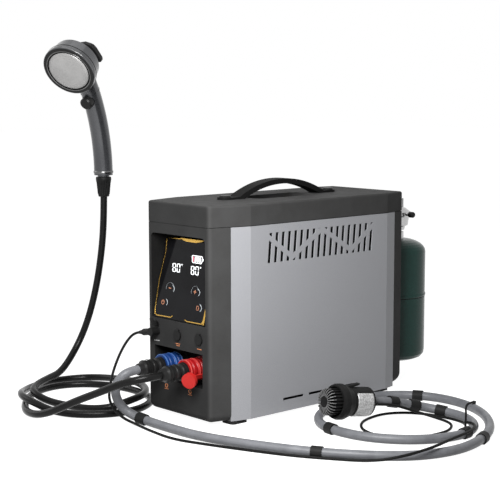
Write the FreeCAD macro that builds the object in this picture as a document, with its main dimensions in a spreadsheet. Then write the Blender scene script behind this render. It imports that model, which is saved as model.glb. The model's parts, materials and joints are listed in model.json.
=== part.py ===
"""Portable propane water heater: battery-powered tankless heater, shower set and suction pump.

Frame: millimetres, +Z up, origin on the floor under the middle of the housing.
The control face looks toward -Y, the gas bottle hangs at +Y, and the long sides look toward +X and -X.
"""
import FreeCAD, Part
import math
import os
import re

import Sketcher
from FreeCAD import Placement, Rotation, Vector

doc = FreeCAD.newDocument("WaterHeater")
sheet = doc.addObject("Spreadsheet::Sheet", "Sizes")
node_objects = []

X_AXIS = Vector(1, 0, 0)
Y_AXIS = Vector(0, 1, 0)
Z_AXIS = Vector(0, 0, 1)
TOWARD_FRONT = Rotation(X_AXIS, 90)
TOWARD_REAR = Rotation(X_AXIS, -90)
TOWARD_RIGHT = Rotation(Y_AXIS, 90)
TOWARD_LEFT = Rotation(Y_AXIS, -90)


# ---------------------------------------------------------------- driving dimensions

SIZES = {
    # housing
    "body_width": 156,
    "body_length": 360,
    "body_top": 287,
    "foot_height": 5,
    "cover_height": 28.5,
    "shell_wall": 2.5,
    "panel_thickness": 1.5,
    "front_facet_in": 15,
    "front_facet_run": 59,
    "rear_facet_in": 9,
    "rear_facet_run": 40.5,
    "front_split_run": 31,
    "rear_split_run": 20,
    "front_bottom_round": 10,
    "rear_bottom_round": 17,
    "cover_edge_round": 3,
    "front_corner_round": 7,
    "recess_corner": 7,
    "seam_height": 0.9,
    "seam_depth": 1,
    "tray_thickness": 3,
    "tray_rim_height": 12,
    "foot_length": 28,
    "foot_width": 24,
    "foot_inset": 6,
    "foot_setback": 1,
    "foot_corner": 6,
    "screw_radius": 3,
    "screw_head": 1.6,
    "screw_inset": 9,
    "screw_low": 30,
    "screw_high": 225,
    # control recess
    "control_tilt": 11.2,
    "glass_width": 104,
    "glass_length": 106,
    "glass_thickness": 3,
    "glass_sink": 1.5,
    "glass_bottom": 132,
    "recess_width": 112,
    "recess_top": 245,
    "recess_ledge": 1,
    "trim_width": 2,
    "trim_height": 0.8,
    # connector recess and ports
    "bay_width": 100,
    "bay_bottom": 49,
    "bay_top": 94,
    "bay_depth": 28,
    "connector_spacing": 48,
    "connector_height": 70,
    "port_height": 113,
    "port_spacing": 43.5,
    "port_radius": 6,
    "cap_radius": 7,
    "cap_thickness": 2.2,
    "cap_open_tilt": 36,
    # quick connectors
    "stem_radius": 7,
    "stem_length": 14,
    "port_flange_radius": 17,
    "port_flange_height": 3,
    "port_body_radius": 12,
    "port_body_length": 38,
    "port_bore_radius": 9,
    "port_bore_start": 16,
    "sleeve_radius": 15,
    "sleeve_start": 11,
    "coupling_radius": 11,
    "coupling_length": 38,
    "dust_cap_radius": 10,
    "dust_cap_height": 6,
    "running_gap": 0.05,
    "seat_gap": 0.3,
    # side vents
    "vent_count": 18,
    "vent_pitch": 11.35,
    "vent_width": 5.6,
    "vent_bottom": 208,
    "vent_top": 247.5,
    "vent_middle": 9.5,
    "vent_lean": 3.5,
    "zigzag_band": 7.5,
    "louvre_count": 3,
    "louvre_length": 38,
    "louvre_height": 3.6,
    "louvre_pitch": 48,
    "louvre_level": 20,
    "louvre_start": -63,
    # handle
    "handle_width": 21,
    "handle_thickness": 7,
    "handle_rise": 24,
    "handle_half_span": 80,
    "handle_tab_end": 108,
    "handle_tab_thickness": 3,
    "screw_cap_radius": 8,
    "screw_cap_height": 2.6,
    "finger_length": 112,
    "finger_width": 48,
    "finger_depth": 18,
    "finger_corner": 12,
    # heater core
    "burner_box_width": 100,
    "burner_box_length": 130,
    "burner_box_height": 44,
    "chamber_width": 104,
    "chamber_length": 136,
    "chamber_height": 84,
    "exchanger_height": 44,
    "fin_count": 14,
    "fin_thickness": 1,
    "core_wall": 1.5,
    "core_middle": 30,
    "burner_bar_width": 12,
    "burner_bar_height": 26,
    "burner_bar_pitch": 17,
    "manifold_width": 84,
    "manifold_height": 12,
    "exchanger_tube_radius": 8,
    "exchanger_tube_pitch": 32,
    "battery_length": 78,
    "battery_height": 60,
    "battery_gap": 1.5,
    "sensor_half": 9,
    "gas_valve_width": 44,
    "gas_valve_length": 40,
    "gas_valve_height": 46,
    "hood_height": 34,
    "pipe_radius": 5,
    # gas side
    "bottle_radius": 49,
    "bottle_gap": 10,
    "bottle_bottom": 27,
    "bottle_shoulder": 189.5,
    "bottle_top": 208.5,
    "bottle_wall": 1.2,
    "valve_radius": 16,
    "thread_radius": 12,
    "thread_length": 10,
    "regulator_bottom": 222,
    "regulator_radius": 26,
    "regulator_height": 36,
    "inlet_level": 235,
    "inlet_radius": 8,
    "knob_radius": 4.4,
    "knob_length": 8.5,
    # shower set
    "hose_radius": 5,
    "coil_x": -172,
    "coil_y": -208,
    "coil_turn": 138,
    "coil_height": 11,
    "coil_long_half": 128,
    "coil_short_half": 103,
    "coil_hole_long_half": 74,
    "coil_hole_short_half": 66,
    "nut_x": -240.5,
    "nut_y": -122.5,
    "nut_bottom": 277.5,
    "nut_height": 29,
    "nut_top_radius": 11.2,
    "nut_bottom_radius": 9,
    "handle_turn": -65.1,
    "grip_radius": 13.6,
    "grip_bend_radius": 226,
    "grip_sweep": 40,
    "grip_bottom": 309,
    "head_radius": 38,
    "head_depth": 32,
    "head_forward": 93.7,
    "head_level": 457.9,
    "head_tilt": 125.4,
    "spray_radius": 31.5,
    "spray_thickness": 3,
    "button_radius": 9,
    "button_height": 7,
    "button_skirt": 2.6,
    "button_sink": -1,
    "button_travel": 3,
    "button_lean": 30,
    "selector_offset": 16,
    "selector_height": 5,
    # pump and its hose
    "suction_radius": 6,
    "cable_radius": 1.8,
    "pump_x": 178,
    "pump_y": -59,
    "pump_height": 36,
    "pump_heading": 81.5,
    "pump_dip": 7.2,
    "bell_radius": 23.2,
    "pump_radius": 18.9,
    "pump_tail": 48,
    "mouth_radius": 19.5,
    "mouth_front": -8,
    "mouth_floor": -2,
    "strainer_reach": 25,
    "strainer_radius": 17.5,
    "strainer_slots": 20,
    "strainer_wall": 2.2,
    "strainer_hub": 8,
    "slot_width": 1.8,
    "impeller_radius": 12.4,
    "impeller_blades": 6,
    "shaft_radius": 2,
    "strap_length": 14,
    "strap_thickness": 1.6,
}
for row, (name, amount) in enumerate(SIZES.items(), start=1):
    sheet.set(f"B{row}", str(amount))
    sheet.setAlias(f"B{row}", name)
doc.recompute()


def bound(text):
    """An expression in which each size's name points at its cell."""
    return re.sub(
        r"[a-z][a-z_]*",
        lambda word: f"Sizes.{word[0]}" if word[0] in SIZES else word[0],
        str(text),
    )


def number(text):
    return float(sheet.evalExpression(bound(text)))


# Expressions that several sub-parts share.
FRONT = "(-body_length / 2)"
REAR = "(body_length / 2)"
SEAM = "(body_top - cover_height)"
FRONT_HALF = "(body_width / 2 - front_facet_in)"
REAR_HALF = "(body_width / 2 - rear_facet_in)"
FRONT_SPLIT_Y = f"({FRONT} + front_split_run)"
REAR_SPLIT_Y = f"({REAR} - rear_split_run)"
FRONT_SPLIT_X = f"({FRONT_HALF} + front_facet_in * front_split_run / front_facet_run)"
REAR_SPLIT_X = f"({REAR_HALF} + rear_facet_in * rear_split_run / rear_facet_run)"
BAY_BACK = f"({FRONT} + bay_depth)"
BOTTLE_Y = f"({REAR} + bottle_gap + bottle_radius)"
CONNECTOR_X = "(connector_spacing / 2)"
SENSOR_SIDE = f"({CONNECTOR_X} + sensor_half)"


# ---------------------------------------------------------------- modelling helpers

def new_body(name):
    body = doc.addObject("PartDesign::Body", name)
    body.Label = name
    return body


def sketch(body, name, role, corners, offset="0"):
    """A closed outline on one of the body's origin planes, its corners bound to the sheet."""
    outline = body.newObject("Sketcher::SketchObject", name)
    plane = next(item for item in body.Origin.OriginFeatures if item.Role == role)
    outline.AttachmentSupport = (plane, [""])
    outline.MapMode = "FlatFace"
    outline.setExpression("AttachmentOffset.Base.z", bound(offset))
    places = [Vector(number(across), number(up), 0) for across, up in corners]
    count = len(places)
    for index in range(count):
        edge = Part.LineSegment(places[index], places[(index + 1) % count])
        outline.addGeometry(edge, False)
    for index in range(count):
        joined = Sketcher.Constraint("Coincident", index, 2, (index + 1) % count, 1)
        outline.addConstraint(joined)
    for index, corner in enumerate(corners):
        for kind, text in zip(("DistanceX", "DistanceY"), corner):
            datum = Sketcher.Constraint(kind, -1, 1, index, 1, number(text))
            row = outline.addConstraint(datum)
            outline.setExpression(f"Constraints[{row}]", bound(text))
    return outline


def pad(body, outline, length, both_ways=False, backwards=False):
    feature = body.newObject("PartDesign::Pad", f"{outline.Name}_pad")
    feature.Profile = outline
    feature.setExpression("Length", bound(length))
    feature.Midplane = both_ways
    feature.Reversed = backwards
    return feature


def pocket(body, outline, length, both_ways=False, backwards=False):
    feature = body.newObject("PartDesign::Pocket", f"{outline.Name}_pocket")
    feature.Profile = outline
    feature.setExpression("Length", bound(length))
    feature.Midplane = both_ways
    feature.Reversed = backwards
    return feature


def round_edges(body, feature, radius, chosen):
    """Fillets the edges of a feature that pass the test, with a radius from the sheet."""
    doc.recompute()
    names = [f"Edge{index}" for index, edge in enumerate(feature.Shape.Edges, 1) if chosen(edge)]
    fillet = body.newObject("PartDesign::Fillet", f"{feature.Name}_fillet")
    fillet.Base = (feature, names)
    fillet.setExpression("Radius", bound(radius))
    return fillet


def prism(name, role, corners, length, offset="0", both_ways=False, backwards=False):
    body = new_body(name)
    outline = sketch(body, f"{name}_outline", role, corners, offset)
    pad(body, outline, length, both_ways, backwards)
    return body


def turned(name, corners):
    """A solid of revolution about the body's own Z axis; each corner is radius and height."""
    body = new_body(name)
    profile = sketch(body, f"{name}_profile", "XZ_Plane", corners)
    feature = body.newObject("PartDesign::Revolution", f"{name}_turn")
    feature.Profile = profile
    feature.ReferenceAxis = (profile, ["V_Axis"])
    feature.Angle = 360
    return body


def place(thing, across="0", along="0", up="0", rotation=None):
    """Puts an object where three expressions say, after an optional turn."""
    if rotation is not None:
        thing.Placement = Placement(Vector(), rotation)
    for letter, text in zip("xyz", (across, along, up)):
        thing.setExpression(f"Placement.Base.{letter}", bound(text))
    return thing


def box(name, spans, corner=None):
    solid = doc.addObject("Part::Box", name)
    for side, text in zip(("Length", "Width", "Height"), spans):
        solid.setExpression(side, bound(text))
    return place(solid, *corner) if corner else solid


def cylinder(name, radius, length, centre=None, rotation=None):
    solid = doc.addObject("Part::Cylinder", name)
    solid.setExpression("Radius", bound(radius))
    solid.setExpression("Height", bound(length))
    return place(solid, *centre, rotation=rotation) if centre else solid


def fuse(name, *parts):
    joined = doc.addObject("Part::MultiFuse", name)
    joined.Shapes = list(parts)
    return joined


def cut(name, base, *tools):
    result = doc.addObject("Part::Cut", name)
    result.Base = base
    result.Tool = tools[0] if len(tools) == 1 else fuse(f"{name}_tools", *tools)
    return result


def common(name, *parts):
    shared = doc.addObject("Part::MultiCommon", name)
    shared.Shapes = list(parts)
    return shared


def group(name, *parts):
    gathered = doc.addObject("Part::Compound", name)
    gathered.Links = list(parts)
    return gathered


def mirrored(name, source):
    """A copy on the other side of the plane X = 0."""
    copy = doc.addObject("Part::Mirroring", name)
    copy.Source = source
    copy.Normal = X_AXIS
    return copy


def made(name, shape, placement=None):
    """A feature whose shape is built by Part's own functions."""
    feature = doc.addObject("Part::Feature", name)
    feature.Shape = shape
    if placement is not None:
        feature.Placement = placement
    return feature


def node(thing, name):
    """Names a finished sub-part, which is then written to its own file."""
    thing.Label = name
    node_objects.append(thing)
    return thing


# ---------------------------------------------------------------- housing

def octagon(inset):
    """The housing's plan, drawn in by the inset."""
    front_x = f"{FRONT_HALF} - {inset}"
    side_x = f"body_width / 2 - {inset}"
    rear_x = f"{REAR_HALF} - {inset}"
    right = [
        (front_x, f"{FRONT} + {inset}"),
        (side_x, f"{FRONT} + front_facet_run"),
        (side_x, f"{REAR} - rear_facet_run"),
        (rear_x, f"{REAR} - {inset}"),
    ]
    left = [(f"-({across})", along) for across, along in reversed(right)]
    return right + left


def at_front_corner(edge):
    box_of = edge.BoundBox
    return box_of.ZLength > 0.5 and box_of.YMax < number(FRONT) + 5


def at_recess_top(edge):
    box_of = edge.BoundBox
    return box_of.XLength < 0.01 and box_of.ZLength < 0.01 and box_of.ZMin > number("glass_bottom") + 20


def at_bottom_front(edge):
    box_of = edge.BoundBox
    return box_of.ZLength < 0.01 and box_of.YMin < number(FRONT) + 5 and box_of.ZMax < 20


def at_bottom_rear(edge):
    box_of = edge.BoundBox
    return box_of.ZLength < 0.01 and box_of.YMax > number(REAR) - 5 and box_of.ZMax < 20


def make_base_tray():
    inset = "panel_thickness"
    right = [
        (f"{FRONT_SPLIT_X} - {inset}", FRONT_SPLIT_Y),
        (f"body_width / 2 - {inset}", f"{FRONT} + front_facet_run + 0.2 * {inset}"),
        (f"body_width / 2 - {inset}", f"{REAR} - rear_facet_run - 0.2 * {inset}"),
        (f"{REAR_SPLIT_X} - {inset}", REAR_SPLIT_Y),
    ]
    left = [(f"-({across})", along) for across, along in reversed(right)]
    body = new_body("base_tray")
    plan = sketch(body, "tray_plan", "XY_Plane", right + left, "foot_height")
    pad(body, plan, "tray_rim_height")
    inner_x = "(body_width / 2 - panel_thickness - 2 * shell_wall)"
    hollow = [
        (f"-{inner_x}", f"{FRONT_SPLIT_Y} + 2 * shell_wall"),
        (inner_x, f"{FRONT_SPLIT_Y} + 2 * shell_wall"),
        (inner_x, f"{REAR_SPLIT_Y} - 2 * shell_wall"),
        (f"-{inner_x}", f"{REAR_SPLIT_Y} - 2 * shell_wall"),
    ]
    floor = sketch(body, "tray_hollow", "XY_Plane", hollow, "foot_height + tray_rim_height")
    pocket(body, floor, "tray_rim_height - tray_thickness")
    node(body, "base_tray")


def make_feet():
    """Four rubber pads under the tray; the left front one stands further in than the right one."""
    right_x = "(body_width / 2 - foot_inset - foot_width)"
    left_x = "(-body_width / 2 + foot_inset)"
    front_y = f"({FRONT_SPLIT_Y} + foot_setback)"
    rear_y = f"({REAR_SPLIT_Y} - foot_inset - foot_length)"
    pads = []
    for name, x, y in (("front_right", right_x, front_y),
                       ("front_left", f"{left_x} + foot_width + foot_inset", front_y),
                       ("rear_right", right_x, rear_y),
                       ("rear_left", left_x, rear_y)):
        far_x = f"{x} + foot_width"
        far_y = f"{y} + foot_length"
        body = new_body(f"foot_{name}")
        plan = sketch(body, f"foot_plan_{name}", "XY_Plane", [(x, y), (far_x, y), (far_x, far_y), (x, far_y)])
        block = pad(body, plan, "foot_height")
        round_edges(body, block, "foot_corner", lambda edge: edge.BoundBox.ZLength > 1)
        pads.append(body)
    node(group("rubber_feet", *pads), "rubber_feet")


PAN_TILT = "tan(control_tilt)"
PAN_NEAR = f"({FRONT} + glass_sink + glass_thickness / cos(control_tilt))"


def control_profile(grow):
    """Side view of the control recess; its back slopes away toward the top."""
    low = f"(glass_bottom - recess_ledge - {grow})"
    high = f"(recess_top + {grow})"
    back_low = f"{PAN_NEAR} + {grow} + ({low} - glass_bottom) * {PAN_TILT}"
    back_high = f"{PAN_NEAR} + {grow} + ({high} - glass_bottom) * {PAN_TILT}"
    mouth = f"{FRONT} - 1 + {grow}"
    return [(mouth, low), (back_low, low), (back_high, high), (mouth, high)]


def make_front_bezel():
    outer_plan = [
        (f"-{FRONT_SPLIT_X}", FRONT_SPLIT_Y),
        (f"-{FRONT_HALF}", FRONT),
        (FRONT_HALF, FRONT),
        (FRONT_SPLIT_X, FRONT_SPLIT_Y),
    ]
    outer = new_body("bezel_outside")
    outline = sketch(outer, "bezel_outline", "XY_Plane", outer_plan, "foot_height")
    block = pad(outer, outline, f"{SEAM} - foot_height")
    cornered = round_edges(outer, block, "front_corner_round", at_front_corner)
    round_edges(outer, cornered, "front_bottom_round", at_bottom_front)
    inner_plan = [
        (f"-({FRONT_SPLIT_X} - shell_wall)", f"{FRONT_SPLIT_Y} + 1"),
        (f"-({FRONT_HALF} - shell_wall)", f"{FRONT} + shell_wall"),
        (f"{FRONT_HALF} - shell_wall", f"{FRONT} + shell_wall"),
        (f"{FRONT_SPLIT_X} - shell_wall", f"{FRONT_SPLIT_Y} + 1"),
    ]
    inner = new_body("bezel_inside")
    cavity = sketch(inner, "bezel_cavity", "XY_Plane", inner_plan, "foot_height + shell_wall")
    core = pad(inner, cavity, f"{SEAM} - foot_height")
    round_edges(inner, core, "front_bottom_round - shell_wall", at_bottom_front)
    control_pan = prism("control_pan", "YZ_Plane", control_profile("shell_wall"),
                        "recess_width + 2 * shell_wall", both_ways=True)
    control_void = prism("control_void", "YZ_Plane", control_profile("0"),
                         "recess_width", both_ways=True)
    round_edges(control_void, control_void.Tip, "recess_corner", at_recess_top)
    bay_pan = box("bay_pan",
                  ("bay_width + 2 * shell_wall", "bay_depth + shell_wall",
                   "bay_top - bay_bottom + 2 * shell_wall"),
                  ("-bay_width / 2 - shell_wall", FRONT, "bay_bottom - shell_wall"))
    bay_void = box("bay_void",
                   ("bay_width", "bay_depth + 1", "bay_top - bay_bottom"),
                   ("-bay_width / 2", f"{FRONT} - 1", "bay_bottom"))
    holes = []
    for index in (-1, 0, 1):
        centre = (f"{index} * port_spacing", f"{FRONT} - 1", "port_height")
        holes.append(cylinder(f"port_hole_{index + 1}", "port_radius - 1", "shell_wall + 2",
                              centre, TOWARD_REAR))
    for side, sign in (("inlet", "-"), ("outlet", "")):
        centre = (f"{sign}{CONNECTOR_X}", f"{BAY_BACK} - 1", "connector_height")
        holes.append(cylinder(f"{side}_stem_hole", "stem_radius", "shell_wall + 2",
                              centre, TOWARD_REAR))
    hollow = cut("bezel_hollow", inner, control_pan, bay_pan)
    bezel = cut("front_bezel", outer, hollow, control_void, bay_void, *holes)
    node(bezel, "front_bezel")


def make_rear_cover():
    outer_plan = [
        (REAR_SPLIT_X, REAR_SPLIT_Y),
        (REAR_HALF, REAR),
        (f"-{REAR_HALF}", REAR),
        (f"-{REAR_SPLIT_X}", REAR_SPLIT_Y),
    ]
    outer = new_body("rear_outside")
    outline = sketch(outer, "rear_outline", "XY_Plane", outer_plan, "foot_height")
    block = pad(outer, outline, f"{SEAM} - foot_height")
    round_edges(outer, block, "rear_bottom_round", at_bottom_rear)
    inner_plan = [
        (f"{REAR_SPLIT_X} - shell_wall", f"{REAR_SPLIT_Y} - 1"),
        (f"{REAR_HALF} - shell_wall", f"{REAR} - shell_wall"),
        (f"-({REAR_HALF} - shell_wall)", f"{REAR} - shell_wall"),
        (f"-({REAR_SPLIT_X} - shell_wall)", f"{REAR_SPLIT_Y} - 1"),
    ]
    inner = new_body("rear_inside")
    cavity = sketch(inner, "rear_cavity", "XY_Plane", inner_plan, "foot_height + shell_wall")
    core = pad(inner, cavity, f"{SEAM} - foot_height")
    round_edges(inner, core, "rear_bottom_round - shell_wall", at_bottom_rear)
    inlet_hole = cylinder("gas_inlet_hole", "inlet_radius", "shell_wall + 2",
                          ("0", f"{REAR} - shell_wall - 1", "inlet_level"), TOWARD_REAR)
    slots = []
    for index in range(6):
        slots.append(box(f"exhaust_slot_{index}", ("90", "shell_wall + 2", "4"),
                         ("-45", f"{REAR} - shell_wall - 1", f"{125 + 12 * index}")))
    node(cut("rear_cover", outer, inner, inlet_hole, *slots), "rear_cover")


def make_top_cover():
    outer = new_body("cover_outside")
    outline = sketch(outer, "cover_outline", "XY_Plane", octagon("0"), f"{SEAM} + seam_height")
    flat_block = pad(outer, outline, "cover_height - seam_height")
    block = round_edges(outer, flat_block, "front_corner_round", at_front_corner)
    round_edges(outer, block, "cover_edge_round",
                lambda edge: edge.BoundBox.ZLength < 0.01 and edge.BoundBox.ZMin > number("body_top") - 1)
    lip = prism("cover_lip", "XY_Plane", octagon("seam_depth"), "seam_height + 1", SEAM)
    round_edges(lip, lip.Tip, "front_corner_round - seam_depth", at_front_corner)
    inner = prism("cover_inside", "XY_Plane", octagon("shell_wall"), "cover_height - shell_wall", SEAM)

    def finger_hollow(name, grow, bottom, height):
        half_x = f"(finger_width / 2 + {grow})"
        half_y = f"(finger_length / 2 + {grow})"
        corners = [(f"-{half_x}", f"-{half_y}"), (half_x, f"-{half_y}"),
                   (half_x, half_y), (f"-{half_x}", half_y)]
        body = new_body(name)
        plan = sketch(body, f"{name}_plan", "XY_Plane", corners, bottom)
        block_of = pad(body, plan, height)
        round_edges(body, block_of, f"finger_corner + {grow}",
                    lambda edge: edge.BoundBox.ZLength > 1)
        return body

    pan = finger_hollow("finger_pan", "shell_wall", "body_top - finger_depth - shell_wall",
                        "finger_depth + shell_wall")
    void = finger_hollow("finger_void", "0", "body_top - finger_depth", "finger_depth + 1")
    hollow = cut("cover_hollow", inner, pan)
    node(cut("top_cover", fuse("cover_block", outer, lip), hollow, void), "top_cover")


def make_side_panels():
    """Bent sheet on each side, pierced by leaning slots that a zigzag band interrupts."""
    skin = "panel_thickness"
    plan = [
        (FRONT_SPLIT_X, FRONT_SPLIT_Y),
        ("body_width / 2", f"{FRONT} + front_facet_run"),
        ("body_width / 2", f"{REAR} - rear_facet_run"),
        (REAR_SPLIT_X, REAR_SPLIT_Y),
        (f"{REAR_SPLIT_X} - {skin}", REAR_SPLIT_Y),
        (f"body_width / 2 - {skin}", f"{REAR} - rear_facet_run - 0.2 * {skin}"),
        (f"body_width / 2 - {skin}", f"{FRONT} + front_facet_run + 0.2 * {skin}"),
        (f"{FRONT_SPLIT_X} - {skin}", FRONT_SPLIT_Y),
    ]
    sheet_metal = prism("panel_sheet", "XY_Plane", plan, f"{SEAM} - foot_height", "foot_height")
    plane = "body_width / 2 - 2 * panel_thickness"
    depth = "4 * panel_thickness"
    count = int(number("vent_count"))
    slots = []
    for index in range(count):
        middle = f"(vent_middle + ({index} - (vent_count - 1) / 2) * vent_pitch)"
        corners = [
            (f"{middle} - vent_width / 2 - vent_lean / 2", "vent_bottom"),
            (f"{middle} + vent_width / 2 - vent_lean / 2", "vent_bottom"),
            (f"{middle} + vent_width / 2 + vent_lean / 2", "vent_top"),
            (f"{middle} - vent_width / 2 + vent_lean / 2", "vent_top"),
        ]
        slots.append(prism(f"vent_slot_{index}", "YZ_Plane", corners, depth, plane))
    quarter = "(vent_count * vent_pitch / 3.65)"
    ridge = [
        (f"vent_middle - 2 * {quarter}", "vent_top + zigzag_band / 2"),
        (f"vent_middle - {quarter}", "vent_bottom + zigzag_band * 0.6"),
        ("vent_middle", "vent_top - zigzag_band * 0.2"),
        (f"vent_middle + {quarter}", "vent_bottom + zigzag_band * 0.6"),
        (f"vent_middle + 2 * {quarter}", "vent_top + zigzag_band / 2"),
    ]
    lower = [(along, f"{up} - zigzag_band / 2") for along, up in ridge]
    upper = [(along, f"{up} + zigzag_band / 2") for along, up in reversed(ridge)]
    band = prism("zigzag_band_solid", "YZ_Plane", lower + upper, f"{depth} + 2", f"{plane} - 1")
    vents = cut("vent_cutter", fuse("vent_slots", *slots), band)
    louvres = []
    for index in range(int(number("louvre_count"))):
        louvres.append(box(f"louvre_{index}", (depth, "louvre_length", "louvre_height"),
                           (plane, f"louvre_start + {index} * louvre_pitch", "louvre_level")))
    right = node(cut("right_side_panel", sheet_metal, vents, *louvres), "right_side_panel")
    node(mirrored("left_side_panel", right), "left_side_panel")


def make_control_panel():
    """Tilted touch glass with its raised metal surround."""
    tilt = Rotation(X_AXIS, -number("control_tilt"))
    low_edge = (f"{FRONT} + glass_sink", "glass_bottom")
    glass = doc.addObject("Part::Box", "control_glass")
    glass.setExpression("Length", bound("glass_width"))
    glass.setExpression("Width", bound("glass_thickness"))
    glass.setExpression("Height", bound("glass_length"))
    place(glass, "-glass_width / 2", *low_edge, rotation=tilt)
    node(glass, "control_glass")
    half = "glass_width / 2"
    frame = new_body("control_trim")
    ring = sketch(frame, "trim_outer", "XZ_Plane",
                  [(f"-{half}", "0"), (half, "0"), (half, "glass_length"), (f"-{half}", "glass_length")])
    pad(frame, ring, "trim_height")
    inside = f"({half} - trim_width)"
    window = sketch(frame, "trim_window", "XZ_Plane",
                    [(f"-{inside}", "trim_width"), (inside, "trim_width"),
                     (inside, "glass_length - trim_width"), (f"-{inside}", "glass_length - trim_width")],
                    "trim_height")
    pocket(frame, window, "2 * trim_height")
    place(frame, "0", *low_edge, rotation=tilt)
    node(frame, "control_trim")


def make_handle():
    """Arched strap along the top, with a flat tab and a screw cap at each end."""
    outer_radius = "((handle_half_span ^ 2 + (handle_rise - handle_tab_thickness) ^ 2)" \
                   " / (2 * (handle_rise - handle_tab_thickness)))"
    centre_up = f"(body_top + handle_rise - {outer_radius})"
    low = "(-handle_width / 2)"
    ring = cut("arch_ring",
               cylinder("arch_outer", outer_radius, "handle_width", (low, "0", centre_up), TOWARD_RIGHT),
               cylinder("arch_inner", f"{outer_radius} - handle_thickness", "handle_width + 2",
                        (f"{low} - 1", "0", centre_up), TOWARD_RIGHT))
    above = box("arch_room", ("handle_width", "2 * handle_half_span + 10", "handle_rise + 10"),
                (low, "-handle_half_span - 5", "body_top"))
    arch = common("handle_arch", ring, above)
    tabs = []
    for name, start, end in (("front", "-handle_tab_end", "-handle_tab_end + handle_width / 2"),
                             ("rear", "handle_half_span - 9", "handle_tab_end - handle_width / 2")):
        length = "(handle_tab_end - handle_width / 2 - handle_half_span + 9)"
        first = start if name == "rear" else "(-handle_tab_end + handle_width / 2)"
        tabs.append(box(f"{name}_tab", ("handle_width", length, "handle_tab_thickness"),
                        (low, first, "body_top")))
        tabs.append(cylinder(f"{name}_tab_end", "handle_width / 2", "handle_tab_thickness",
                             ("0", end, "body_top")))
    node(fuse("carry_handle", arch, *tabs), "carry_handle")
    caps = []
    for name, sign in (("front", "-"), ("rear", "")):
        dome = turned(f"{name}_screw_cap", [
            ("0", "0"), ("screw_cap_radius", "0"), ("screw_cap_radius", "screw_cap_height * 0.6"),
            ("screw_cap_radius - 1.5", "screw_cap_height"), ("0", "screw_cap_height")])
        caps.append(place(dome, "0", f"{sign}(handle_tab_end - handle_width / 2)",
                          "body_top + handle_tab_thickness"))
    node(group("handle_screw_caps", *caps), "handle_screw_caps")


def make_cover_screws():
    screws = []
    for column in (-1, 1):
        for level in ("screw_low", "screw_high"):
            screws.append(cylinder(f"{level}_{column + 1}", "screw_radius", "screw_head",
                                   (f"{column} * ({REAR_HALF} - screw_inset)", REAR, level), TOWARD_REAR))
    node(group("cover_screws", *screws), "cover_screws")


# ---------------------------------------------------------------- ports on the front

def make_ports():
    socket = turned("pump_socket", [
        ("0", "-shell_wall - 8"), ("port_radius - 1", "-shell_wall - 8"), ("port_radius - 1", "0"),
        ("port_radius", "0"), ("port_radius", "1.5"), ("0", "1.5")])
    place(socket, "-port_spacing", FRONT, "port_height", TOWARD_FRONT)
    node(socket, "pump_socket")
    jacks = []
    for index in (0, 1):
        jack = turned(f"jack_{index}", [
            ("2.5", "-shell_wall - 8"), ("port_radius - 1", "-shell_wall - 8"),
            ("port_radius - 1", "0"), ("2.5", "0")])
        jacks.append(place(jack, f"{index} * port_spacing", FRONT, "port_height", TOWARD_FRONT))
    node(group("port_jacks", *jacks), "port_jacks")
    for index, name in ((0, "port_cap_middle"), (1, "port_cap_right")):
        disc = cylinder(f"{name}_disc", "cap_radius", "cap_thickness",
                        (f"{index} * port_spacing", f"{FRONT} - seat_gap", "port_height"), TOWARD_FRONT)
        bead = cylinder(f"{name}_bead", "cap_thickness / 2 + 0.2", "cap_radius",
                        (f"{index} * port_spacing - cap_radius / 2",
                         f"{FRONT} - seat_gap - cap_thickness / 2", "port_height + cap_radius"), TOWARD_RIGHT)
        node(fuse(name, disc, bead), name)
    swing = Rotation(X_AXIS, -(180 - number("cap_open_tilt")))
    lid = fuse("socket_lid",
               cylinder("lid_disc", "cap_radius", "cap_thickness", ("0", "cap_thickness / 2", "-cap_radius"),
                        TOWARD_FRONT),
               cylinder("lid_bead", "cap_thickness / 2 + 0.2", "cap_radius", ("-cap_radius / 2", "0", "0"),
                        TOWARD_RIGHT))
    place(lid, "-port_spacing", f"{FRONT} - seat_gap - cap_thickness / 2", "port_height + port_radius + 2",
          swing)
    node(lid, "socket_cover")
    plug_y = f"({FRONT} - 1.5 - 6)"
    head = cylinder("plug_head", "port_radius - 0.4", "11",
                    ("-port_spacing", f"{FRONT} - 1.5", "port_height"), TOWARD_FRONT)
    barrel = turned("plug_barrel", [
        ("0", "0"), ("4.6", "0"), ("4.6", "20"), ("3.6", "21"), ("2.2", "30"), ("0", "30")])
    place(barrel, "-port_spacing", plug_y, "port_height", Rotation(Y_AXIS, -100))
    node(fuse("pump_plug", head, barrel), "pump_plug")


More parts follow.
